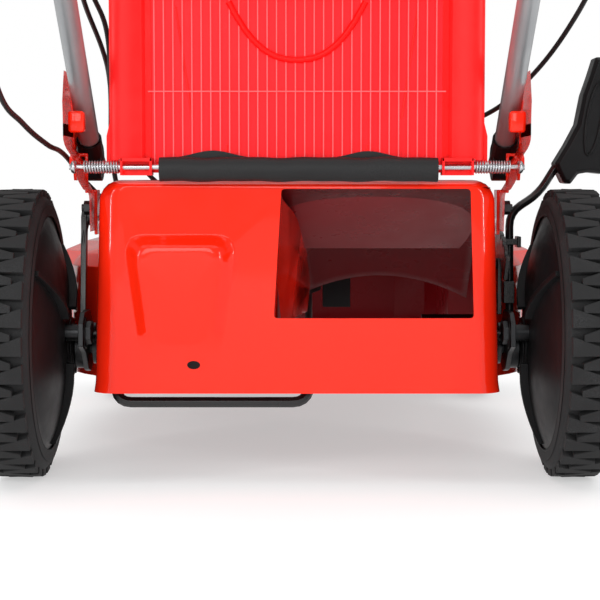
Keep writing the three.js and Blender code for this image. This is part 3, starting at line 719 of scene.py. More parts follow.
@dataclass
class Deck:
    """Pressed deck: body and roof from the frame, with a drawn rear panel and its fittings."""

    rear: float = REAR_AXLE_Y - 0.060
    round_depth: float = 0.020
    side_round: float = 0.022
    top_round: float = 0.0065
    half: float = 0.1914
    top_half: float = 0.1864
    low: float = 0.088
    top: float = 0.2884
    corner: float = 0.0212
    corner_share: float = 0.7
    flare: float = 0.0015
    flare_height: float = 0.010
    mouth_x: Pair = (-0.0217, 0.1657)
    mouth_top_x: Pair = (-0.0145, 0.1617)
    mouth_z: Pair = (0.159, 0.280)
    mouth_bend: float = 0.004
    slot_middle: Pair = (-0.097, 0.115)
    slot_half: Pair = (0.0062, 0.004)
    sheet: float = 0.0015
    bulge_depth: float = 0.014
    bulge_x: Pair = (-0.1480, -0.0710)
    bulge_top_x: Pair = (-0.1640, -0.0550)
    bulge_z: Pair = (0.121, 0.238)
    bulge_bend: float = 0.022
    bulge_middle: Pair = (-0.1095, 0.176)
    bulge_steps: tuple[Pair, ...] = (
        (0.97, 0.05), (0.92, 0.2), (0.86, 0.46), (0.80, 0.74), (0.75, 0.91), (0.70, 0.98), (0.6, 1.0),
    )
    bulge_foot: float = 0.01
    fade_speed: float = 1.15
    fade_curve: float = 1.1
    steps: int = 8

    def arch(self, share: float) -> list[Pair]:
        """The panel's open outline, drawn in by a share of its edge rounding, as (x, z) pairs."""
        inset = self.side_round * share
        top = self.top - self.top_round * share
        half, top_half = self.half - inset, self.top_half - inset
        radius = self.corner - inset * self.corner_share
        turns = (math.radians(90.0 * i / self.steps) for i in range(self.steps, -1, -1))
        right = [(top_half - radius * (1 - math.cos(a)), top - radius * (1 - math.sin(a))) for a in turns]
        left = [(-x, z) for x, z in reversed(right)]
        foot = [(half + self.flare, self.low), (half, self.low + self.flare_height)]
        return [(-x, z) for x, z in foot] + left + right + foot[::-1]

    def loop(self, shape: Shape, points: Sequence[Pair], y: float) -> list[Any]:
        """Draws a closed loop of edges in the panel's plane and returns its vertices."""
        verts = [shape.bm.verts.new((x, y, z)) for x, z in points]
        for a, b in zip(verts, verts[1:] + verts[:1]):
            shape.bm.edges.new((a, b))
        return verts

    def soft_corners(
        self, corners: Sequence[Pair], bend: float
    ) -> list[Pair]:
        """Rounds every corner of a closed outline of (x, z) pairs."""
        closed = [corners[-1], *corners, corners[0]]
        flat = rounded([(x, 0.0, z) for x, z in closed], bend, 5)
        return [(p.x, p.z) for p in flat[1:-1]]

    def mouth(self) -> list[Pair]:
        """The outline of the discharge mouth."""
        (x0, x1), (t0, t1), (z0, z1) = self.mouth_x, self.mouth_top_x, self.mouth_z
        return self.soft_corners([(x0, z0), (x1, z0), (t1, z1), (t0, z1)], self.mouth_bend)

    def bulge(self) -> list[Pair]:
        """The outline of the raised boss."""
        low, high = self.bulge_z
        (x0, x1), (t0, t1) = self.bulge_x, self.bulge_top_x
        return self.soft_corners([(x0, low), (x1, low), (t1, high), (t0, high)], self.bulge_bend)

    def rear_panel(self) -> None:
        """The rear wall with rounded edges, the mouth, the slot and the raised boss."""
        shape = Shape()
        bm = shape.bm
        rim = self.loop(shape, self.arch(1.0), self.rear)
        openings = [self.loop(shape, self.mouth(), self.rear)]
        (x, z), (half_long, half_high) = self.slot_middle, self.slot_half
        turns = (math.tau * i / 20 for i in range(20))
        slot = [(x + half_long * math.cos(a), z + half_high * math.sin(a)) for a in turns]
        openings.append(self.loop(shape, slot, self.rear))
        foot = self.loop(shape, self.bulge(), self.rear)
        bmesh.ops.triangle_fill(bm, use_beauty=True, use_dissolve=False, edges=bm.edges[:])
        inside = [f for f in bm.faces if all(v in set(foot) for v in f.verts)]
        bmesh.ops.delete(bm, geom=inside, context="FACES_ONLY")
        self.raise_bulge(shape, foot)
        for opening in openings:
            self.turn_in(shape, opening, 0.003)
        self.turn_back(shape, rim)
        bmesh.ops.recalc_face_normals(bm, faces=bm.faces)
        made = piece("deck_rear_panel", shape, Slot.RED_PAINT, "chassis", (), SMOOTH)
        weighted = made.modifiers.new("flat", "WEIGHTED_NORMAL")
        weighted.weight = 100
        weighted.keep_sharp = True
        if made.data.polygons[0].normal.y > 0.9:
            made.data.flip_normals()

    def ring(self, shape: Shape, verts: Sequence[Any], place: Callable[[Any, int], Point]) -> list[Any]:
        """Extrudes a closed ring of vertices once and moves each copy.

        Args:
            shape: the mesh.
            verts: the ring, in order.
            place: gives each new vertex's point from the old vertex and its number.

        Returns:
            The new ring, in the same order.
        """
        grown = [shape.bm.verts.new(place(v, i)) for i, v in enumerate(verts)]
        count = len(verts)
        for i in range(count):
            j = (i + 1) % count
            shape.bm.faces.new((verts[i], verts[j], grown[j], grown[i]))
        return grown

    def raise_bulge(self, shape: Shape, foot: Sequence[Any]) -> None:
        """Raises the boss: steep soft shoulders at its top and sides, fading out at its foot."""
        middle = Vector((self.bulge_middle[0], 0.0, self.bulge_middle[1]))
        low, high = self.bulge_z
        verts = list(foot)
        for share, rise in self.bulge_steps:
            verts = self.ring(
                shape,
                verts,
                lambda v, i, share=share, rise=rise: (
                    middle.x + (foot[i].co.x - middle.x) * share,
                    self.rear - self.bulge_depth * rise * self.fade((foot[i].co.z - low) / (high - low)),
                    middle.z + (foot[i].co.z - middle.z) * (share + (1 - share) * 0.3),
                ),
            )
        centre = shape.bm.verts.new((middle.x, self.rear - self.bulge_depth * 0.8, middle.z))
        for a, b in zip(verts, verts[1:] + verts[:1]):
            shape.bm.faces.new((a, b, centre))

    def fade(self, height: float) -> float:
        """How far the boss stands out at a share of its height."""
        grown = min(1.0, max(0.0, height * self.fade_speed)) ** self.fade_curve
        return self.bulge_foot + (1.0 - self.bulge_foot) * grown

    def turn_in(self, shape: Shape, verts: Sequence[Any], depth: float) -> None:
        """Turns the edge of an opening inwards."""
        inner = self.ring(shape, verts, lambda v, i: (v.co.x, v.co.y + depth * 0.4, v.co.z))
        self.ring(shape, inner, lambda v, i: (v.co.x, v.co.y + depth * 0.6, v.co.z))

    def turn_back(self, shape: Shape, rim: Sequence[Any]) -> None:
        """Rounds the panel's side and top edges back to the deck's walls."""
        verts = list(rim)
        edge_steps = 8
        for step in range(1, edge_steps + 2):
            a = math.radians(min(90.0, 90.0 * step / edge_steps))
            y = self.rear + self.round_depth * (1 - math.cos(a)) + (0.004 if step > edge_steps else 0.0)
            outline = self.arch(1 - math.sin(a))
            grown = [shape.bm.verts.new((x, y, z)) for x, z in outline]
            for i in range(len(verts) - 1):
                shape.bm.faces.new((verts[i], verts[i + 1], grown[i + 1], grown[i]))
            verts = grown

    def body(self) -> None:
        """The deck's body, roof and chute wall, which stop where the rear panel's rounded edge begins."""
        shape = Shape()
        shape.carry("deck")
        shape.halved((0.0, self.rear + self.round_depth, 0.0), (0.0, -1.0, 0.0), clear_outer=True)
        made = piece("deck_body", shape, Slot.RED_PAINT, "chassis", ("deck",), Edge(0.0008, 2, 28.0, False))
        # Inner faces get the darker copy of the paint as painted shade.
        made.data.materials.append(mixed_once(INSIDE_SHADE_PAINT))
        for face in made.data.polygons:
            face.material_index = int(self.is_inside(face.normal, face.center))

    def is_inside(self, normal: Vector, at: Vector) -> bool:
        """Whether a face of the body belongs to its inner side, which is dressed in painted shade."""
        leaning = 0.3
        upright = abs(normal.x) > leaning
        side_wall = upright and 0.025 < abs(at.x) < 0.262 and normal.x * at.x < 0
        chute = upright and -0.03 < at.x < 0.012
        front_wall = normal.y < -leaning and abs(at.x) < 0.185 and at.y > REAR_AXLE_Y + 0.06
        return normal.z < -leaning or side_wall or chute or front_wall

    def chute(self) -> None:
        """The chute's curved roof sheet, which falls from the mouth towards the blade."""
        shape = Shape()
        across, along = 22, 26
        left, right, lip, length = self.mouth_x[0] + 0.004, 0.1805, 0.004, 0.205
        top, drift, steady, growing, crowned = 0.2815, 0.030, 0.030, 0.064, 0.020
        rows = []
        for j in range(along + 1):
            t = j / along
            fall = steady * t + growing * t * t
            row = []
            for i in range(across + 1):
                s = i / across
                x = left + (right - left) * s + drift * t * (1 - s)
                crown = crowned * t * (2 * s - 0.9) ** 2
                row.append(shape.bm.verts.new((x, self.rear + lip + length * t, top - fall - crown)))
            rows.append(row)
        bmesh.ops.solidify(shape.bm, geom=shape.strip(rows), thickness=self.sheet)
        # The roof is dressed in the darker copy of the paint as painted shade.
        redress(piece("chute_roof", shape, Slot.RED_PAINT, "chassis", (), SMOOTH), INSIDE_SHADE_PAINT)

    def chute_wall(self) -> None:
        """The chute's left wall, which leans out at its foot and bends away inside."""
        shape = Shape()
        plan = [(-0.0155, 0.001), (-0.0135, 0.020), (-0.0040, 0.060), (0.0040, 0.110), (0.0180, 0.200)]
        lean, low, tall, fall = 0.0072, 0.150, 0.126, 0.30
        rows = []
        for k in (0.0, 0.35, 0.7, 1.0):
            points = [(x - lean * (1 - k), self.rear + y, low + tall * k - fall * y * k) for x, y in plan]
            rows.append([shape.bm.verts.new(point) for point in points])
        bmesh.ops.solidify(shape.bm, geom=shape.strip(rows), thickness=self.sheet)
        piece("chute_wall", shape, Slot.RED_PAINT, "chassis", (), SMOOTH)

    def slot_plug(self) -> None:
        """A dark block behind the drain slot: painted shade seen through it."""
        shape = Shape()
        shape.box((-0.106, -0.088), (self.rear + 0.0032, self.rear + 0.0060), (0.108, 0.122))
        piece("slot_plug", shape, Slot.BLACK_PLASTIC, "chassis", ())

    def build(self) -> None:
        """Builds the whole deck."""
        self.rear_panel()
        self.body()
        self.chute()
        self.chute_wall()
        self.slot_plug()


# ---------------------------------------------------------------- wheels


@dataclass
class Wheel:
    """One wheel's rubber tyre with its cast wedge lugs; the rim keeps the frame's shape."""

    end: str
    side: int
    name: str
    body: str
    lugs: int
    lug_depth: float
    wall_share: float
    lug_wide: float = 1.42
    lug_narrow: float = 0.50
    lug_sweep: float = 0.40
    lug_reach: Pair = (0.80, -0.42)
    lug_sunk: float = 0.002
    lug_drop: float = 0.0006

    def __post_init__(self) -> None:
        """Reads the wheel's size and place from the frame."""
        low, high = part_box(f"{self.end}_tyre_{self.name}")
        self.middle = (low + high) / 2
        self.radius = (high.z - low.z) / 2
        self.half_width = (high.x - low.x) / 2

    def build(self) -> None:
        """Carcass with rounded shoulders, a raised line on each wall, and the lugs."""
        half, radius, depth = self.half_width, self.radius, self.lug_depth
        wall = radius * self.wall_share
        shape = Shape()
        outer = [
            (half * 0.80, radius - depth), (half * 0.90, radius - depth - 0.0032),
            (half * 0.955, radius - 0.012), (half * 0.99, radius - 0.018), (half, radius - 0.025),
            (half + 0.0006, radius - 0.026), (half, radius - 0.027), (half, wall + 0.007),
            (half * 0.985, wall + 0.004), (half * 0.90, wall + 0.001), (half * 0.62, wall),
        ]
        carcass = [(-x, r) for x, r in reversed(outer)] + outer
        shape.turned(carcass, self.middle, 96)
        for number in range(self.lugs):
            self.lug(shape, number)
        node = f"{self.end}_tyre_{self.name}"
        piece(f"{node}_rubber", shape, Slot.TYRE_RUBBER, self.body, (node,), Edge(0.0009, 2, 40.0))

    def lug(self, shape: Shape, number: int) -> None:
        """One wedge across half of the tread, wide at the shoulder and narrow past the middle."""
        pitch = math.tau / self.lugs
        top, bottom = self.radius, self.radius - self.lug_depth - self.lug_sunk
        hand = 1.0 if number % 2 == 0 else -1.0
        wide, narrow, sweep = pitch * self.lug_wide, pitch * self.lug_narrow, pitch * self.lug_sweep
        shoulder, inner = self.lug_reach
        for vert in shape.box(UNIT, UNIT, UNIT):
            across, along, up = vert.co
            near = across > 0
            x = self.half_width * (shoulder if near else inner)
            turn = along * (wide if near else narrow) + (0.0 if near else sweep)
            r = top if up > 0 else bottom
            if near and up > 0:
                r -= self.lug_drop
            angle = number * pitch + turn
            vert.co = self.middle + Vector((x * hand * self.side, -r * math.sin(angle), r * math.cos(angle)))


@dataclass
class DustCover:
    """Domed cover on the inside of a rear wheel, with ribs, a stacked boss and a lip."""

    side: int
    name: str
    rib_angles: tuple[float, ...] = (178.0, 42.0, -55.0)
    boss_y: float = 0.040
    boss_z: float = -0.018
    bolt_ring: float = 0.0222
    bolt_turns: tuple[float, ...] = (20.0, 140.0, 260.0)
    clear_of_mower: float = 10.0

    def __post_init__(self) -> None:
        """Reads the wheel's axis from the frame."""
        low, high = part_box(f"rear_tyre_{self.name}")
        self.middle = Vector((0.0, (low.y + high.y) / 2, (low.z + high.z) / 2))

    def build(self) -> None:
        """Turns the dome and adds its ribs and boss."""
        shape = Shape()
        s = self.side
        profile = [
            (0.2252, 0.0088), (0.2252, 0.040), (0.2262, 0.052), (0.2282, 0.066), (0.2312, 0.080),
            (0.2352, 0.094), (0.2392, 0.104), (0.2412, 0.108), (0.2418, 0.1155), (0.2440, 0.1162),
            (0.2446, 0.1085), (0.2424, 0.104), (0.2384, 0.093), (0.2342, 0.079), (0.2312, 0.066),
            (0.2292, 0.051), (0.2284, 0.0088),
        ]
        shape.turned([(s * x, r) for x, r in profile], self.middle, 96)
        for angle in self.rib_angles:
            self.rib(shape, math.radians(angle))
        y, z = self.middle.y + self.boss_y, self.middle.z + self.boss_z
        bosses = ((0.2215, 0.2305, 0.0250), (0.2205, 0.2262, 0.0215), (0.2235, 0.2300, 0.0300))
        for x0, x1, radius in bosses:
            profile = [
                (s * x0, 0.0075), (s * x0, radius - 0.001), (s * (x0 + 0.001), radius),
                (s * x1, radius), (s * x1, 0.0075),
            ]
            shape.turned(profile, (0.0, y, z), 48)
        for turn in self.bolt_turns:
            a = math.radians(turn)
            at = Vector((0.0, y + self.bolt_ring * math.cos(a), z + self.bolt_ring * math.sin(a)))
            shape.rod(at + Vector((s * 0.2202, 0, 0)), at + Vector((s * 0.2260, 0, 0)), 0.0042, sides=6)
        node = f"dust_cover_{self.name}"
        edge = Edge(0.0006, 2, 38.0)
        piece(f"{node}_dome", shape, Slot.BLACK_PLASTIC, f"arm_{self.name}", (node,), edge)

    def rib(self, shape: Shape, angle: float) -> None:
        """A tapering fin that follows the dome from the boss to near its rim."""
        away = self.clear_of_mower
        verts = shape.box((away - 0.5, away + 0.5), UNIT, UNIT)
        bmesh.ops.subdivide_edges(
            shape.bm,
            edges=[e for e in {e for v in verts for e in v.link_edges} if abs(self.run(e)) > 0.9],
            cuts=7,
        )
        hub, length, tall, thick, sunk = 0.030, 0.080, 0.0085, 0.0055, 0.0016
        for vert in [v for v in shape.bm.verts if v.co.x > away / 2]:
            across, along, up = vert.co.x - away, vert.co.y, vert.co.z
            r = hub + length * (along + 0.5)
            dome = 0.2262 + 0.0150 * max(0.0, (r - 0.045) / 0.065) ** 1.7
            height = tall * (1.0 - ((r - hub) / 0.086) ** 2 * 0.55)
            x = dome + sunk if across > 0 else dome - height
            wide = up * thick
            y = r * math.sin(angle) + wide * math.cos(angle)
            z = r * math.cos(angle) - wide * math.sin(angle)
            vert.co = self.middle + Vector((x * self.side, y, z))

    @staticmethod
    def run(edge: bmesh.types.BMEdge) -> float:
        """How far an edge runs along Y."""
        return edge.verts[0].co.y - edge.verts[1].co.y


# ---------------------------------------------------------------- hinge and flap


@dataclass
class Flap:
    """Rear flap held open, with rails, fine ribs and a hand pocket on its inner side."""

    half: float = 0.174
    ear: float = 0.177
    ribs: int = 31
    rib_pitch: float = 0.0087
    rib_x: float = -0.132
    from_rod: float = 0.018
    field_top: float = 0.457
    thick: float = 0.0028
    pocket: tuple[float, float, float] = (0.063, 0.452, 0.399)

    def __post_init__(self) -> None:
        """Reads the flap's place from the frame."""
        low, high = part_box("rear_flap")
        self.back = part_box("hinge_rod")[0].y + self.from_rod
        self.low, self.top = low.z + 0.002, high.z

    def panel(self, shape: Shape) -> None:
        """The flap's plate with ears at its foot."""
        y = self.back
        x, e, low, top = self.half, self.ear, self.low, self.top
        outline = [
            (-e + 0.006, low), (e - 0.006, low), (e, low + 0.010), (e, low + 0.034), (x, low + 0.046),
            (x, top - 0.010), (x - 0.010, top), (-x + 0.010, top), (-x, top - 0.010), (-x, low + 0.046),
            (-e, low + 0.034), (-e, low + 0.010),
        ]
        shape.plate([(a, y, b) for a, b in outline], (0.0, self.thick, 0.0))

    def rails(self, shape: Shape) -> None:
        """Smooth crowned rails down both sides and across the top."""
        for side in (-1, 1):
            inner, outer = 0.1405, self.half - 0.0005
            section = [
                (inner, 0.0), (inner + 0.003, -0.0050), (inner + 0.009, -0.0072), (outer - 0.012, -0.0086),
                (outer - 0.005, -0.0078), (outer - 0.001, -0.0052), (outer, 0.0),
            ]
            points = [(side * a, self.back + b, self.low + 0.011) for a, b in section]
            shape.plate(points, (0.0, 0.0, self.top - self.low - 0.012))
        across_top = (self.top - 0.012, self.top - 0.001)
        shape.box((-0.150, 0.150), (self.back - 0.0070, self.back + 0.0005), across_top)

    def grille(self, shape: Shape) -> None:
        """Thin upright ribs, one cross rib and the frame round them."""
        low, high = self.low + 0.007, 0.455
        ribs = Shape()
        for number in range(self.ribs):
            x = self.rib_x + number * self.rib_pitch
            ribs.box((x - 0.0006, x + 0.0006), (self.back - 0.0028, self.back + 0.0003), (low, high))
        ribs.box((-0.1380, 0.1380), (self.back - 0.0031, self.back + 0.0003), (0.3694, 0.3706))
        made = piece("rear_flap_ribs", ribs, Slot.RED_PLASTIC, "flap", (), Edge(0.00025, 1, 35.0))
        # The ribs get a lighter red as a painted highlight.
        redress(made, RIB_HIGHLIGHT_RED)
        shape.box((-0.1400, 0.1400), (self.back - 0.0085, self.back + 0.0003), (0.456, self.top - 0.010))
        shape.box((-0.1380, 0.1380), (self.back - 0.0024, self.back + 0.0003), (low - 0.002, low))

    def pocket_edge(self, x: float) -> float:
        """Height of the hand pocket's lower edge at a distance from the middle."""
        half, high, low = self.pocket
        return low + (high - low) * (abs(x) / half) ** 2.4

    def hand_pocket(self) -> None:
        """The soft raised edge of the hand pocket, in deep red as painted shade along that edge."""
        steps, half = 24, self.pocket[0]
        across = [-half + 2 * half * i / steps for i in range(steps + 1)]
        path = [(x, self.back - 0.0022, self.pocket_edge(x)) for x in across]
        lip = Shape()
        lip.tube(path, 0.0030, 4)
        redress(piece("rear_flap_pocket_edge", lip, Slot.RED_PLASTIC, "flap", (), SMOOTH), SHADE_RED)

    def field_plate(self) -> None:
        """The paler field that the ribs stand on, and dark strips down its sides that paint the shade in the
        grooves there.
        """
        back, front = self.back, self.back + 0.0010
        shape = Shape()
        shape.box((-0.1392, 0.1392), (back - 0.0008, front), (self.low + 0.006, self.field_top))
        field_piece = piece("rear_flap_field", shape, Slot.RED_PLASTIC, "flap", ())
        # Dark strips down the field's sides are painted shade for the grooves.
        groove_shade = Shape()
        for side in (-1, 1):
            high = (self.low + 0.011, self.field_top)
            groove_shade.side_box(side, (0.1345, 0.1412), (back - 0.0012, front), high)
        redress(piece("rear_flap_groove_shade", groove_shade, Slot.RED_PLASTIC, "flap", ()), SHADE_RED)
        redress(field_piece, PALE_RED)

    def creases(self, shape: Shape) -> None:
        """Shallow creases beside the pocket and the rounded line at the foot."""
        crease, foot_line, radius = self.back - 0.0006, self.back - 0.0004, 0.0012
        for side in (-1, 1):
            shape.tube([(side * 0.112, crease, 0.448), (side * 0.097, crease, 0.345)], radius, 2)
            corners = ((0.132, 0.010), (0.065, 0.010), (0.065, 0.026))
            foot = [(side * x, foot_line, self.low + up) for x, up in corners]
            shape.tube(rounded(foot, 0.008), radius, 2)

    def knuckles(self, shape: Shape) -> None:
        """Open channels that hold the hinge rod."""
        low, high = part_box("hinge_rod")
        y, z = (low.y + high.y) / 2, (low.z + high.z) / 2
        behind, foot, top, cheek = y - 0.0065, z - 0.0075, z + 0.0085, 0.0022
        for side in (-1, 1):
            for x in (0.1335, 0.1605):
                shape.side_box(side, (x, x + cheek), (behind, self.back + 0.001), (foot, top))
            across = (0.1335, 0.1625)
            shape.side_box(side, across, (behind, self.back + 0.001), (z + 0.0052, top))
            shape.side_box(side, across, (y + 0.0042, self.back + 0.001), (foot, top))

    def build(self) -> None:
        """Builds the flap's moulding, with its ribs, field and pocket edge as pieces of their own."""
        shape = Shape()
        self.panel(shape)
        self.rails(shape)
        self.grille(shape)
        self.hand_pocket()
        self.field_plate()
        self.creases(shape)
        self.knuckles(shape)
        edge = Edge(0.0004, 2, 35.0)
        piece("rear_flap_moulding", shape, Slot.RED_PLASTIC, "flap", ("rear_flap",), edge)


@dataclass
class Hinge:
    """Hinge rod with end caps, its two torsion springs and the rubber strip."""

    turns: int = 13
    wire: float = 0.00085
    coil: float = 0.0052
    coil_start: float = 0.1640
    coil_end: float = 0.1965
    humps: tuple[tuple[float, float, float], ...] = ((0.0075, -0.078, 0.026), (0.0070, 0.066, 0.024))

    def __post_init__(self) -> None:
        """Reads the rod's line from the frame."""
        low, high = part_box("hinge_rod")
        self.half = high.x
        self.y, self.z = (low.y + high.y) / 2, (low.z + high.z) / 2

    def rod(self) -> None:
        """The plated rod with its push-on caps."""
        shape = Shape()
        shape.rod((-self.half, self.y, self.z), (self.half, self.y, self.z), 0.0025)
        for side in (-1, 1):
            profile = [
                (0.2038, 0.0), (0.2038, 0.0052), (0.2046, 0.0060), (0.2062, 0.0060), (0.2078, 0.0050),
                (0.2090, 0.0028), (0.2094, 0.0),
            ]
            shape.turned([(side * x, r) for x, r in profile], (0, self.y, self.z), 32)
        piece("hinge_rod_plated", shape, Slot.ZINC, "chassis", ("hinge_rod",), Edge(0.0003))

    def spring(self, side: int, name: str) -> None:
        """One close-wound spring, with its two tails."""
        shape = Shape()
        steps = 14
        start, end = self.coil_start, self.coil_end
        path = []
        for i in range(self.turns * steps + 1):
            a = math.tau * i / steps
            x = start + (end - start) * i / (self.turns * steps)
            path.append((side * x, self.y + self.coil * math.sin(a), self.z + self.coil * math.cos(a)))
        path.insert(0, (side * start, self.y + 0.011, self.z + self.coil + 0.006))
        path.append((side * end, self.y + 0.012, self.z + self.coil))
        shape.tube(path, self.wire, 2)
        piece(f"spring_{name}_wire", shape, Slot.ZINC, "chassis", (f"spring_{name}",), SMOOTH)

    def seal(self) -> None:
        """The soft strip rolled over the rod, slightly wavy, with a second layer behind it."""
        low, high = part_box("hinge_seal")
        shape = Shape()
        steps = 64
        path = []
        for i in range(steps + 1):
            x = low.x + 0.003 + (high.x - low.x - 0.006) * i / steps
            wave = 0.00025 * math.sin(x * 92.0) + 0.0002 * math.sin(x * 171.0 + 1.0)
            path.append((x, (low.y + high.y) / 2 - 0.0003, (low.z + high.z) / 2 - 0.0010 + wave))
        shape.tube(path, 0.0083, 8)
        middle = (low.z + high.z) / 2
        for vert in shape.bm.verts:
            vert.co.z = middle + (vert.co.z - middle) * 1.34
        piece("hinge_seal_roll", shape, Slot.BLACK_RUBBER, "chassis", ("hinge_seal",), Edge(0.0004))
        self.back_layer(low, high)

    def back_layer(self, low: Vector, high: Vector) -> None:
        """The strip's turned-back upper edge, which stands up in two humps."""
        shape = Shape()
        steps = 72
        top = []
        for i in range(steps + 1):
            x = low.x + 0.002 + (high.x - low.x - 0.004) * i / steps
            hump = sum(tall * math.exp(-(((x - at) / wide) ** 2)) for tall, at, wide in self.humps)
            top.append((x, high.y - 0.0010, high.z - 0.0015 + hump))
        foot = [(x, y, low.z + 0.004) for x, y, _ in reversed(top)]
        shape.plate([*top, *foot], (0.0, 0.0020, 0.0))
        piece("hinge_seal_back", shape, Slot.BLACK_RUBBER, "chassis", (), Edge(0.0004))

    def build(self) -> None:
        """Builds the whole hinge."""
        self.rod()
        for side, name in SIDES:
            self.spring(side, name)
        self.seal()


# ---------------------------------------------------------------- handle


@dataclass
class Handle:
    """Folding tube handle with its feet and grip."""

    radius: float = 0.010
    half: float = 0.200
    upper_half: float = 0.221
    lower_start: float = 0.020
    lower_end: float = 0.4605
    start: float = 0.408
    end: float = 1.000
    corner: float = 0.060

    def lower_tube(self, side: int, name: str) -> None:
        """One lower tube, from its foot to past the knob that clamps it."""
        shape = Shape()
        low, reach, steps = self.lower_start, self.lower_end - self.lower_start, 24
        path = [on_handle(side * self.half, 0.0, low + reach * i / steps) for i in range(steps + 1)]
        shape.tube(path, self.radius, 14)
        node = f"lower_tube_{name}"
        piece(f"{node}_steel", shape, Slot.GREY_PAINT, "lower_handle", (node,), Edge(0.0004))

    def foot(self, side: int, name: str) -> None:
        """The round moulded foot over a tube's lower end."""
        shape = Shape()
        shape.carry(f"tube_end_{name}")
        bolt = on_handle(side * 0.1935, 0.0, 0.0)
        for radius, reach in ((0.0062, 0.0035), (0.0040, 0.0052)):
            shape.rod(bolt, bolt - Vector((side * reach, 0, 0)), radius, sides=24)
        node = f"tube_end_{name}"
        edge = Edge(0.0011, 3, 32.0, False)
        piece(f"{node}_foot", shape, Slot.BLACK_PLASTIC, "lower_handle", (node,), edge)

    def upper(self) -> None:
        """The upper handle: one tube bent twice at the top."""
        shape = Shape()
        u = self.upper_half
        corners = [(-u, self.start), (-u, self.end), (u, self.end), (u, self.start)]
        path = rounded([on_handle(x, 0.0, h) for x, h in corners], self.corner, 12)
        shape.tube(path, self.radius, 14)
        node = "upper_handle"
        piece(f"{node}_steel", shape, Slot.GREY_PAINT, node, (node,), Edge(0.0004))

    def grip(self) -> None:
        """Foam sleeve on the upper handle, with shallow finger rings."""
        low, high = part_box("handle_grip")
        shape = Shape()
        middle = on_handle(0.0, 0.0, self.end)
        outer = (high.z - low.z) / 2
        profile = [(low.x, self.radius), (low.x, outer - 0.002), (low.x + 0.002, outer)]
        rings = 22
        span = high.x - low.x - 0.012
        for i in range(rings):
            x = low.x + 0.006 + span * (i + 0.5) / rings
            wide = span / rings
            flank, floor = wide * 0.42, wide * 0.30
            ring = ((-flank, outer), (-floor, outer - 0.0012), (floor, outer - 0.0012), (flank, outer))
            profile += [(x + away, r) for away, r in ring]
        profile += [(high.x - 0.002, outer), (high.x, outer - 0.002), (high.x, self.radius)]
        shape.turned(profile, middle, 40)
        piece("handle_grip_foam", shape, Slot.BLACK_RUBBER, "upper_handle", ("handle_grip",), Edge(0.0004))

    def build(self) -> None:
        """Builds the handle's tubes, feet and grip."""
        for side, name in SIDES:
            self.lower_tube(side, name)
            self.foot(side, name)
        self.upper()
        self.grip()


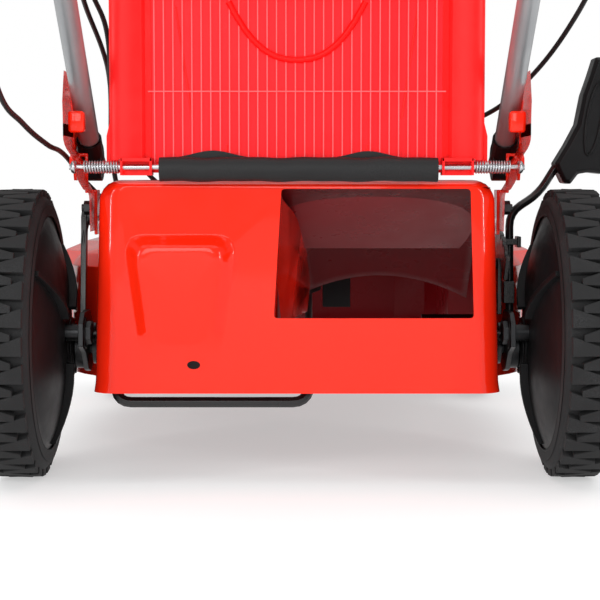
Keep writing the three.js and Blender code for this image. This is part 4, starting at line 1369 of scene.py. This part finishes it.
@dataclass
class Cables:
    """Control cables and the starter rope, split where the handle folds."""

    radius: float = 0.0025

    def routes(self) -> dict[str, list[Vector]]:
        """The route of each cable from its lower to its upper end."""
        return {
            "brake_cable": [
                by_axle(-0.088, 0.296, 0.268), by_axle(-0.150, 0.236, 0.282), by_axle(-0.191, 0.170, 0.352),
                by_axle(-0.196, 0.100, 0.411), by_axle(-0.206, 0.010, 0.461), by_axle(-0.206, -0.110, 0.512),
                on_handle(-0.206, 0.034, 0.390), on_handle(-0.207, 0.016, 0.500),
                on_handle(-0.207, 0.005, 0.580), on_handle(-0.207, 0.005, 0.840),
            ],
            "speed_cable": [
                by_axle(-0.170, 0.080, 0.236), by_axle(-0.187, 0.084, 0.300), by_axle(-0.188, 0.070, 0.380),
                by_axle(-0.189, 0.050, 0.436), by_axle(-0.198, 0.005, 0.470), by_axle(-0.196, -0.110, 0.524),
                on_handle(-0.192, 0.042, 0.400), on_handle(-0.197, 0.022, 0.520),
                on_handle(-0.2005, 0.005, 0.620), on_handle(-0.2005, 0.005, 0.835),
            ],
            "drive_cable": [
                by_axle(-0.158, 0.096, 0.231), by_axle(-0.184, 0.098, 0.254), by_axle(-0.214, 0.078, 0.286),
                by_axle(-0.227, 0.022, 0.312), by_axle(-0.232, -0.060, 0.321), by_axle(-0.239, -0.150, 0.337),
                by_axle(-0.245, -0.230, 0.360), by_axle(-0.248, -0.310, 0.440),
                on_handle(-0.246, -0.012, 0.500), on_handle(-0.236, 0.0, 0.590),
                on_handle(-0.235, 0.0, 0.830),
            ],
            "throttle_cable": [
                by_axle(0.128, 0.224, 0.340), by_axle(0.156, 0.196, 0.344), by_axle(0.196, 0.150, 0.356),
                by_axle(0.228, 0.076, 0.384), by_axle(0.262, 0.010, 0.434), by_axle(0.282, -0.060, 0.492),
                by_axle(0.276, -0.170, 0.560), on_handle(0.250, 0.022, 0.500),
                on_handle(0.236, 0.004, 0.600), on_handle(0.235, 0.009, 0.690),
                on_handle(0.226, 0.016, 0.728), on_handle(0.216, 0.0175, 0.760),
            ],
        }

    def split(self, name: str, points: Sequence[Vector]) -> None:
        """Makes a cable as two lengths that meet halfway up the lower tubes.

        Args:
            name: the cable's CAD node.
            points: its route.
        """
        whole = Shape()
        whole.tube(points, self.radius, 3, soft=True)
        copy = whole.bm.copy()
        half = Shape()
        half.bm.free()
        half.bm = copy
        middle = on_handle(0.0, 0.0, 0.235)
        along = on_handle(0.0, 0.0, 1.0) - on_handle(0.0, 0.0, 0.0)
        for shape, keep_upper in ((whole, False), (half, True)):
            shape.halved(middle, along, clear_inner=keep_upper, clear_outer=not keep_upper)
            loose = [e for e in shape.bm.edges if e.is_boundary]
            bmesh.ops.edgeloop_fill(shape.bm, edges=loose)
        lower = piece(f"{name}_lower", whole, Slot.BLACK_RUBBER, None, (name,), SMOOTH)
        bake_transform(lower)
        upper = piece(f"{name}_upper", half, Slot.BLACK_RUBBER, None, (), SMOOTH)
        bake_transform(upper)

    def rope(self) -> None:
        """The starter rope, from the recoil housing to its guide on the handle."""
        low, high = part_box("starter_rope")
        start = Vector((low.x, high.y, low.z))
        end = Vector((high.x, low.y, high.z))
        middle = (start + end) / 2 - Vector((0, 0, 0.004))
        shape = Shape()
        path = [start, start.lerp(middle, 0.5), middle, middle.lerp(end, 0.5), end]
        shape.tube(path, 0.002, 3, soft=True)
        made = piece("starter_rope_cord", shape, Slot.BLACK_RUBBER, None, ("starter_rope",), SMOOTH)
        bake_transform(made)

    def build(self) -> None:
        """Builds the cables and the rope."""
        for name, points in self.routes().items():
            self.split(name, points)
        self.rope()


# ---------------------------------------------------------------- height adjustment


@dataclass
class HeightAdjustment:
    """Rear crank arms, the lever with its grip, the left strut and its latch pieces."""

    painted_above: float = 0.163
    washer_from: float = 0.2050
    washer_to: float = 0.2062
    bolts: tuple[tuple[float, float, float, float], ...] = (
        (0.026, 0.143, 0.0058, 0.2050), (0.050, 0.140, 0.0058, 0.2050), (0.0, 0.140, 0.0115, 0.2030),
    )

    def arm(self, side: int, name: str) -> None:
        """One crank arm from the frame, with its bush, washers and two bolts."""
        shape = Shape()
        shape.carry(f"height_arm_{name}")
        for ahead, height, radius, far in self.bolts:
            at, out = by_axle(0.0, ahead, height), Vector((side, 0.0, 0.0))
            shape.rod(at + out * (far - 0.0032), at + out * self.washer_to, radius, sides=6)
            shape.rod(at + out * self.washer_from, at + out * self.washer_to, radius * 1.35, sides=24)
        node = f"height_arm_{name}"
        edge = Edge(0.0006, 2, 32.0, False)
        made = piece(f"{node}_steel", shape, Slot.GREY_STEEL, f"arm_{name}", (node,), edge)
        made.data.materials.append(mixed_once(Slot.BLACK_STEEL.value))
        for face in made.data.polygons:
            face.material_index = int(face.center.z > self.painted_above)

    def strut_hook(self) -> None:
        """The rod edge along the left strut, which hooks over its top towards the deck."""
        shape = Shape()
        corners = [
            by_axle(-0.2135, 0.040, 0.150), by_axle(-0.2135, 0.050, 0.236),
            by_axle(-0.2085, 0.055, 0.2555), by_axle(-0.1985, 0.052, 0.2360),
        ]
        shape.tube(rounded(corners, 0.012), 0.0030, 6)
        piece("left_strut_edge", shape, Slot.BLACK_STEEL, "arm_left", (), Edge(0.0003))

    def latch(self) -> None:
        """The lever's thumb tab above the index plate and its stop pad below."""
        y = REAR_AXLE_Y
        shape = Shape()
        shape.box((0.2045, 0.2230), (y + 0.040, y + 0.056), (0.2240, 0.2300))
        shape.box((0.2190, 0.2230), (y + 0.038, y + 0.058), (0.2215, 0.2325))
        shape.box((0.2055, 0.2165), (y + 0.034, y + 0.050), (0.1660, 0.1880))
        piece("lever_latch", shape, Slot.BLACK_STEEL, "arm_right", (), Edge(0.0009, 3, 35.0))

    def grip(self) -> None:
        """The lever's moulded grip: a thick paddle with stepped faces and a raised oval rim."""
        low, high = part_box("height_lever_grip")
        depth = (high.y - low.y) / 2
        middle = (high.y + low.y) / 2
        shape = Shape()
        outline = [
            (0.2565, 0.3050), (0.2600, 0.2965), (0.2655, 0.2855), (0.2725, 0.2845), (0.2800, 0.2945),
            (0.2900, 0.2962), (0.3060, 0.2945), (0.3060, 0.4100), (0.2960, 0.4100), (0.2905, 0.3920),
            (0.2840, 0.3730), (0.2785, 0.3440), (0.2680, 0.3240),
        ]
        outline = [(min(max(x, low.x), high.x), min(max(z, low.z), high.z)) for x, z in outline]
        flank, step = depth * 0.72, depth * 0.24
        shape.plate([(x, middle - flank, z) for x, z in outline], (0.0, depth * 1.44, 0.0))
        for side in (-1, 1):
            at = middle + side * flank
            faces = [f for f in shape.bm.faces if all(abs(v.co.y - at) < SAME_CAD_POINT for v in f.verts)]
            bmesh.ops.inset_region(shape.bm, faces=faces, thickness=0.0032, use_even_offset=True)
            for face in faces:
                bmesh.ops.translate(shape.bm, vec=(0.0, side * step, 0.0), verts=face.verts)
        self.pad(shape, middle - depth * 0.95)
        piece(
            "height_lever_grip_moulding", shape, Slot.BLACK_PLASTIC, "arm_right", ("height_lever_grip",),
            Edge(0.0014, 3, 24.0),
        )

    def pad(self, shape: Shape, y: float) -> None:
        """A raised oval rim on the grip's rear face."""
        steps, tilt, wide, tall = 32, math.radians(-9.0), 0.0072, 0.036
        path = []
        for i in range(steps + 1):
            a = math.tau * i / steps
            u, v = wide * math.cos(a), tall * math.sin(a)
            x = 0.2945 + u * math.cos(tilt) - v * math.sin(tilt)
            path.append((x, y, 0.349 + u * math.sin(tilt) + v * math.cos(tilt)))
        shape.tube(path, 0.0016, 3)

    def build(self) -> None:
        """Builds both arms, the strut's hook and the grip."""
        for side, name in SIDES:
            self.arm(side, name)
        self.strut_hook()
        self.latch()
        self.grip()


# ---------------------------------------------------------------- brackets


@dataclass
class Brackets:
    """Pressed handle brackets: the frame's side plate, a sheet bent in an S, a tab and a nut."""

    thick: float = 0.0028
    foot_top: float = 0.279
    cut_from: float = 0.372
    cut_over: float = 0.018
    front: float = -0.0126

    def sheet(self, side: int, name: str) -> None:
        """The bracket's sheet, bent in an S from the tube down to its foot on the deck's side."""
        y = REAR_AXLE_Y
        shape = Shape()
        shape.carry(f"bracket_{name}")
        shape.halved((0, y - 0.0125, 0), (0, -1, 0), clear_outer=True)
        bmesh.ops.edgeloop_fill(shape.bm, edges=[e for e in shape.bm.edges if e.is_boundary])
        bends = (
            (0.2160, 0.3895), (0.2145, 0.3500), (0.2145, 0.3200), (0.2035, 0.3060), (0.2020, 0.2880),
            (0.1942, 0.2770), (0.1936, 0.2400),
        )
        line = rounded([(x, 0.0, z) for x, z in bends], 0.010, 4)
        columns = 5
        rows = []
        for point in line:
            near, far = self.reach(point.z)
            across = [y + near + (far - near) * i / columns for i in range(columns + 1)]
            rows.append([shape.bm.verts.new((side * point.x, at, point.z)) for at in across])
        bmesh.ops.solidify(shape.bm, geom=shape.strip(rows), thickness=self.thick)
        self.tab(shape, side)
        node = f"bracket_{name}"
        piece(f"{node}_pressing", shape, Slot.RED_PAINT, "chassis", (node,), Edge(0.0006, 2, 35.0))

    def reach(self, height: float) -> Pair:
        """The sheet's rear and front limits at a height, counted from the rear axle."""
        if height < self.foot_top:
            return -0.055, self.front
        above = height - self.cut_from
        rear = -0.080 + 0.020 * min(1.0, max(0.0, above / self.cut_over))
        return rear, self.front if above < 0 else self.front - 0.032 * above / self.cut_over

    def tab(self, shape: Shape, side: int) -> None:
        """The tab pressed out over the tube."""
        y = REAR_AXLE_Y
        verts = shape.side_box(side, (0.1965, 0.2115), (y - 0.070, y - 0.052), (0.332, 0.352))
        bmesh.ops.bevel(
            shape.bm,
            geom=list({e for v in verts for e in v.link_edges}),
            offset=0.003,
            offset_type="OFFSET",
            segments=3,
            profile=0.5,
            affect="EDGES",
            material=-1,
        )

    def nuts(self, side: int, name: str) -> None:
        """The grey hexagon nut on its washer beside the foot."""
        at, out = by_axle(side * 0.1955, -0.030, 0.262), Vector((side, 0.0, 0.0))
        shape = Shape()
        shape.rod(at, at + out * 0.0012, 0.0090)
        shape.rod(at + out * 0.0012, at + out * 0.0068, 0.0068, sides=6)
        shape.rod(at + out * 0.0068, at + out * 0.0090, 0.0036)
        piece(f"bracket_nut_{name}", shape, Slot.GREY_STEEL, "chassis", (), Edge(0.0004))

    def build(self) -> None:
        """Builds both brackets with their nuts."""
        for side, name in SIDES:
            self.sheet(side, name)
            self.nuts(side, name)


# ---------------------------------------------------------------- pieces that keep the frame's shape


class Carried:
    """Pieces whose shape comes from the frame, with broken edges and their own finish."""

    def build(self) -> None:
        """Dresses every CAD node that no other piece stands for."""
        bodies = frame["record"]["behaviour"]["bodies"]
        slots = {p["node"]: p["material_slot"] for p in frame["record"]["subparts"]}
        for body, nodes in bodies.items():
            for node in nodes:
                if frame["nodes"][node].hide_render:
                    continue
                shape = Shape()
                shape.carry(node)
                slot = Slot[slots[node].upper()]
                piece(f"{node}_shell", shape, slot, body, (node,), Edge(0.0005, 2, 32.0, False))


def build_mower() -> None:
    """Builds the studio and every piece of the mower, in order."""
    logging.basicConfig(level=logging.INFO, format="%(name)s %(message)s")
    Studio().build()
    Deck().build()
    Brackets().build()
    Hinge().build()
    Flap().build()
    for side, name in SIDES:
        Wheel("rear", side, name, f"rear_wheel_{name}", 68, 0.0075, 0.845).build()
        Wheel("front", side, name, f"front_wheel_{name}", 56, 0.0055, 0.79).build()
        DustCover(side, name).build()
    HeightAdjustment().build()
    Handle().build()
    Cables().build()
    Carried().build()


if __name__ == "__main__":
    build_mower()
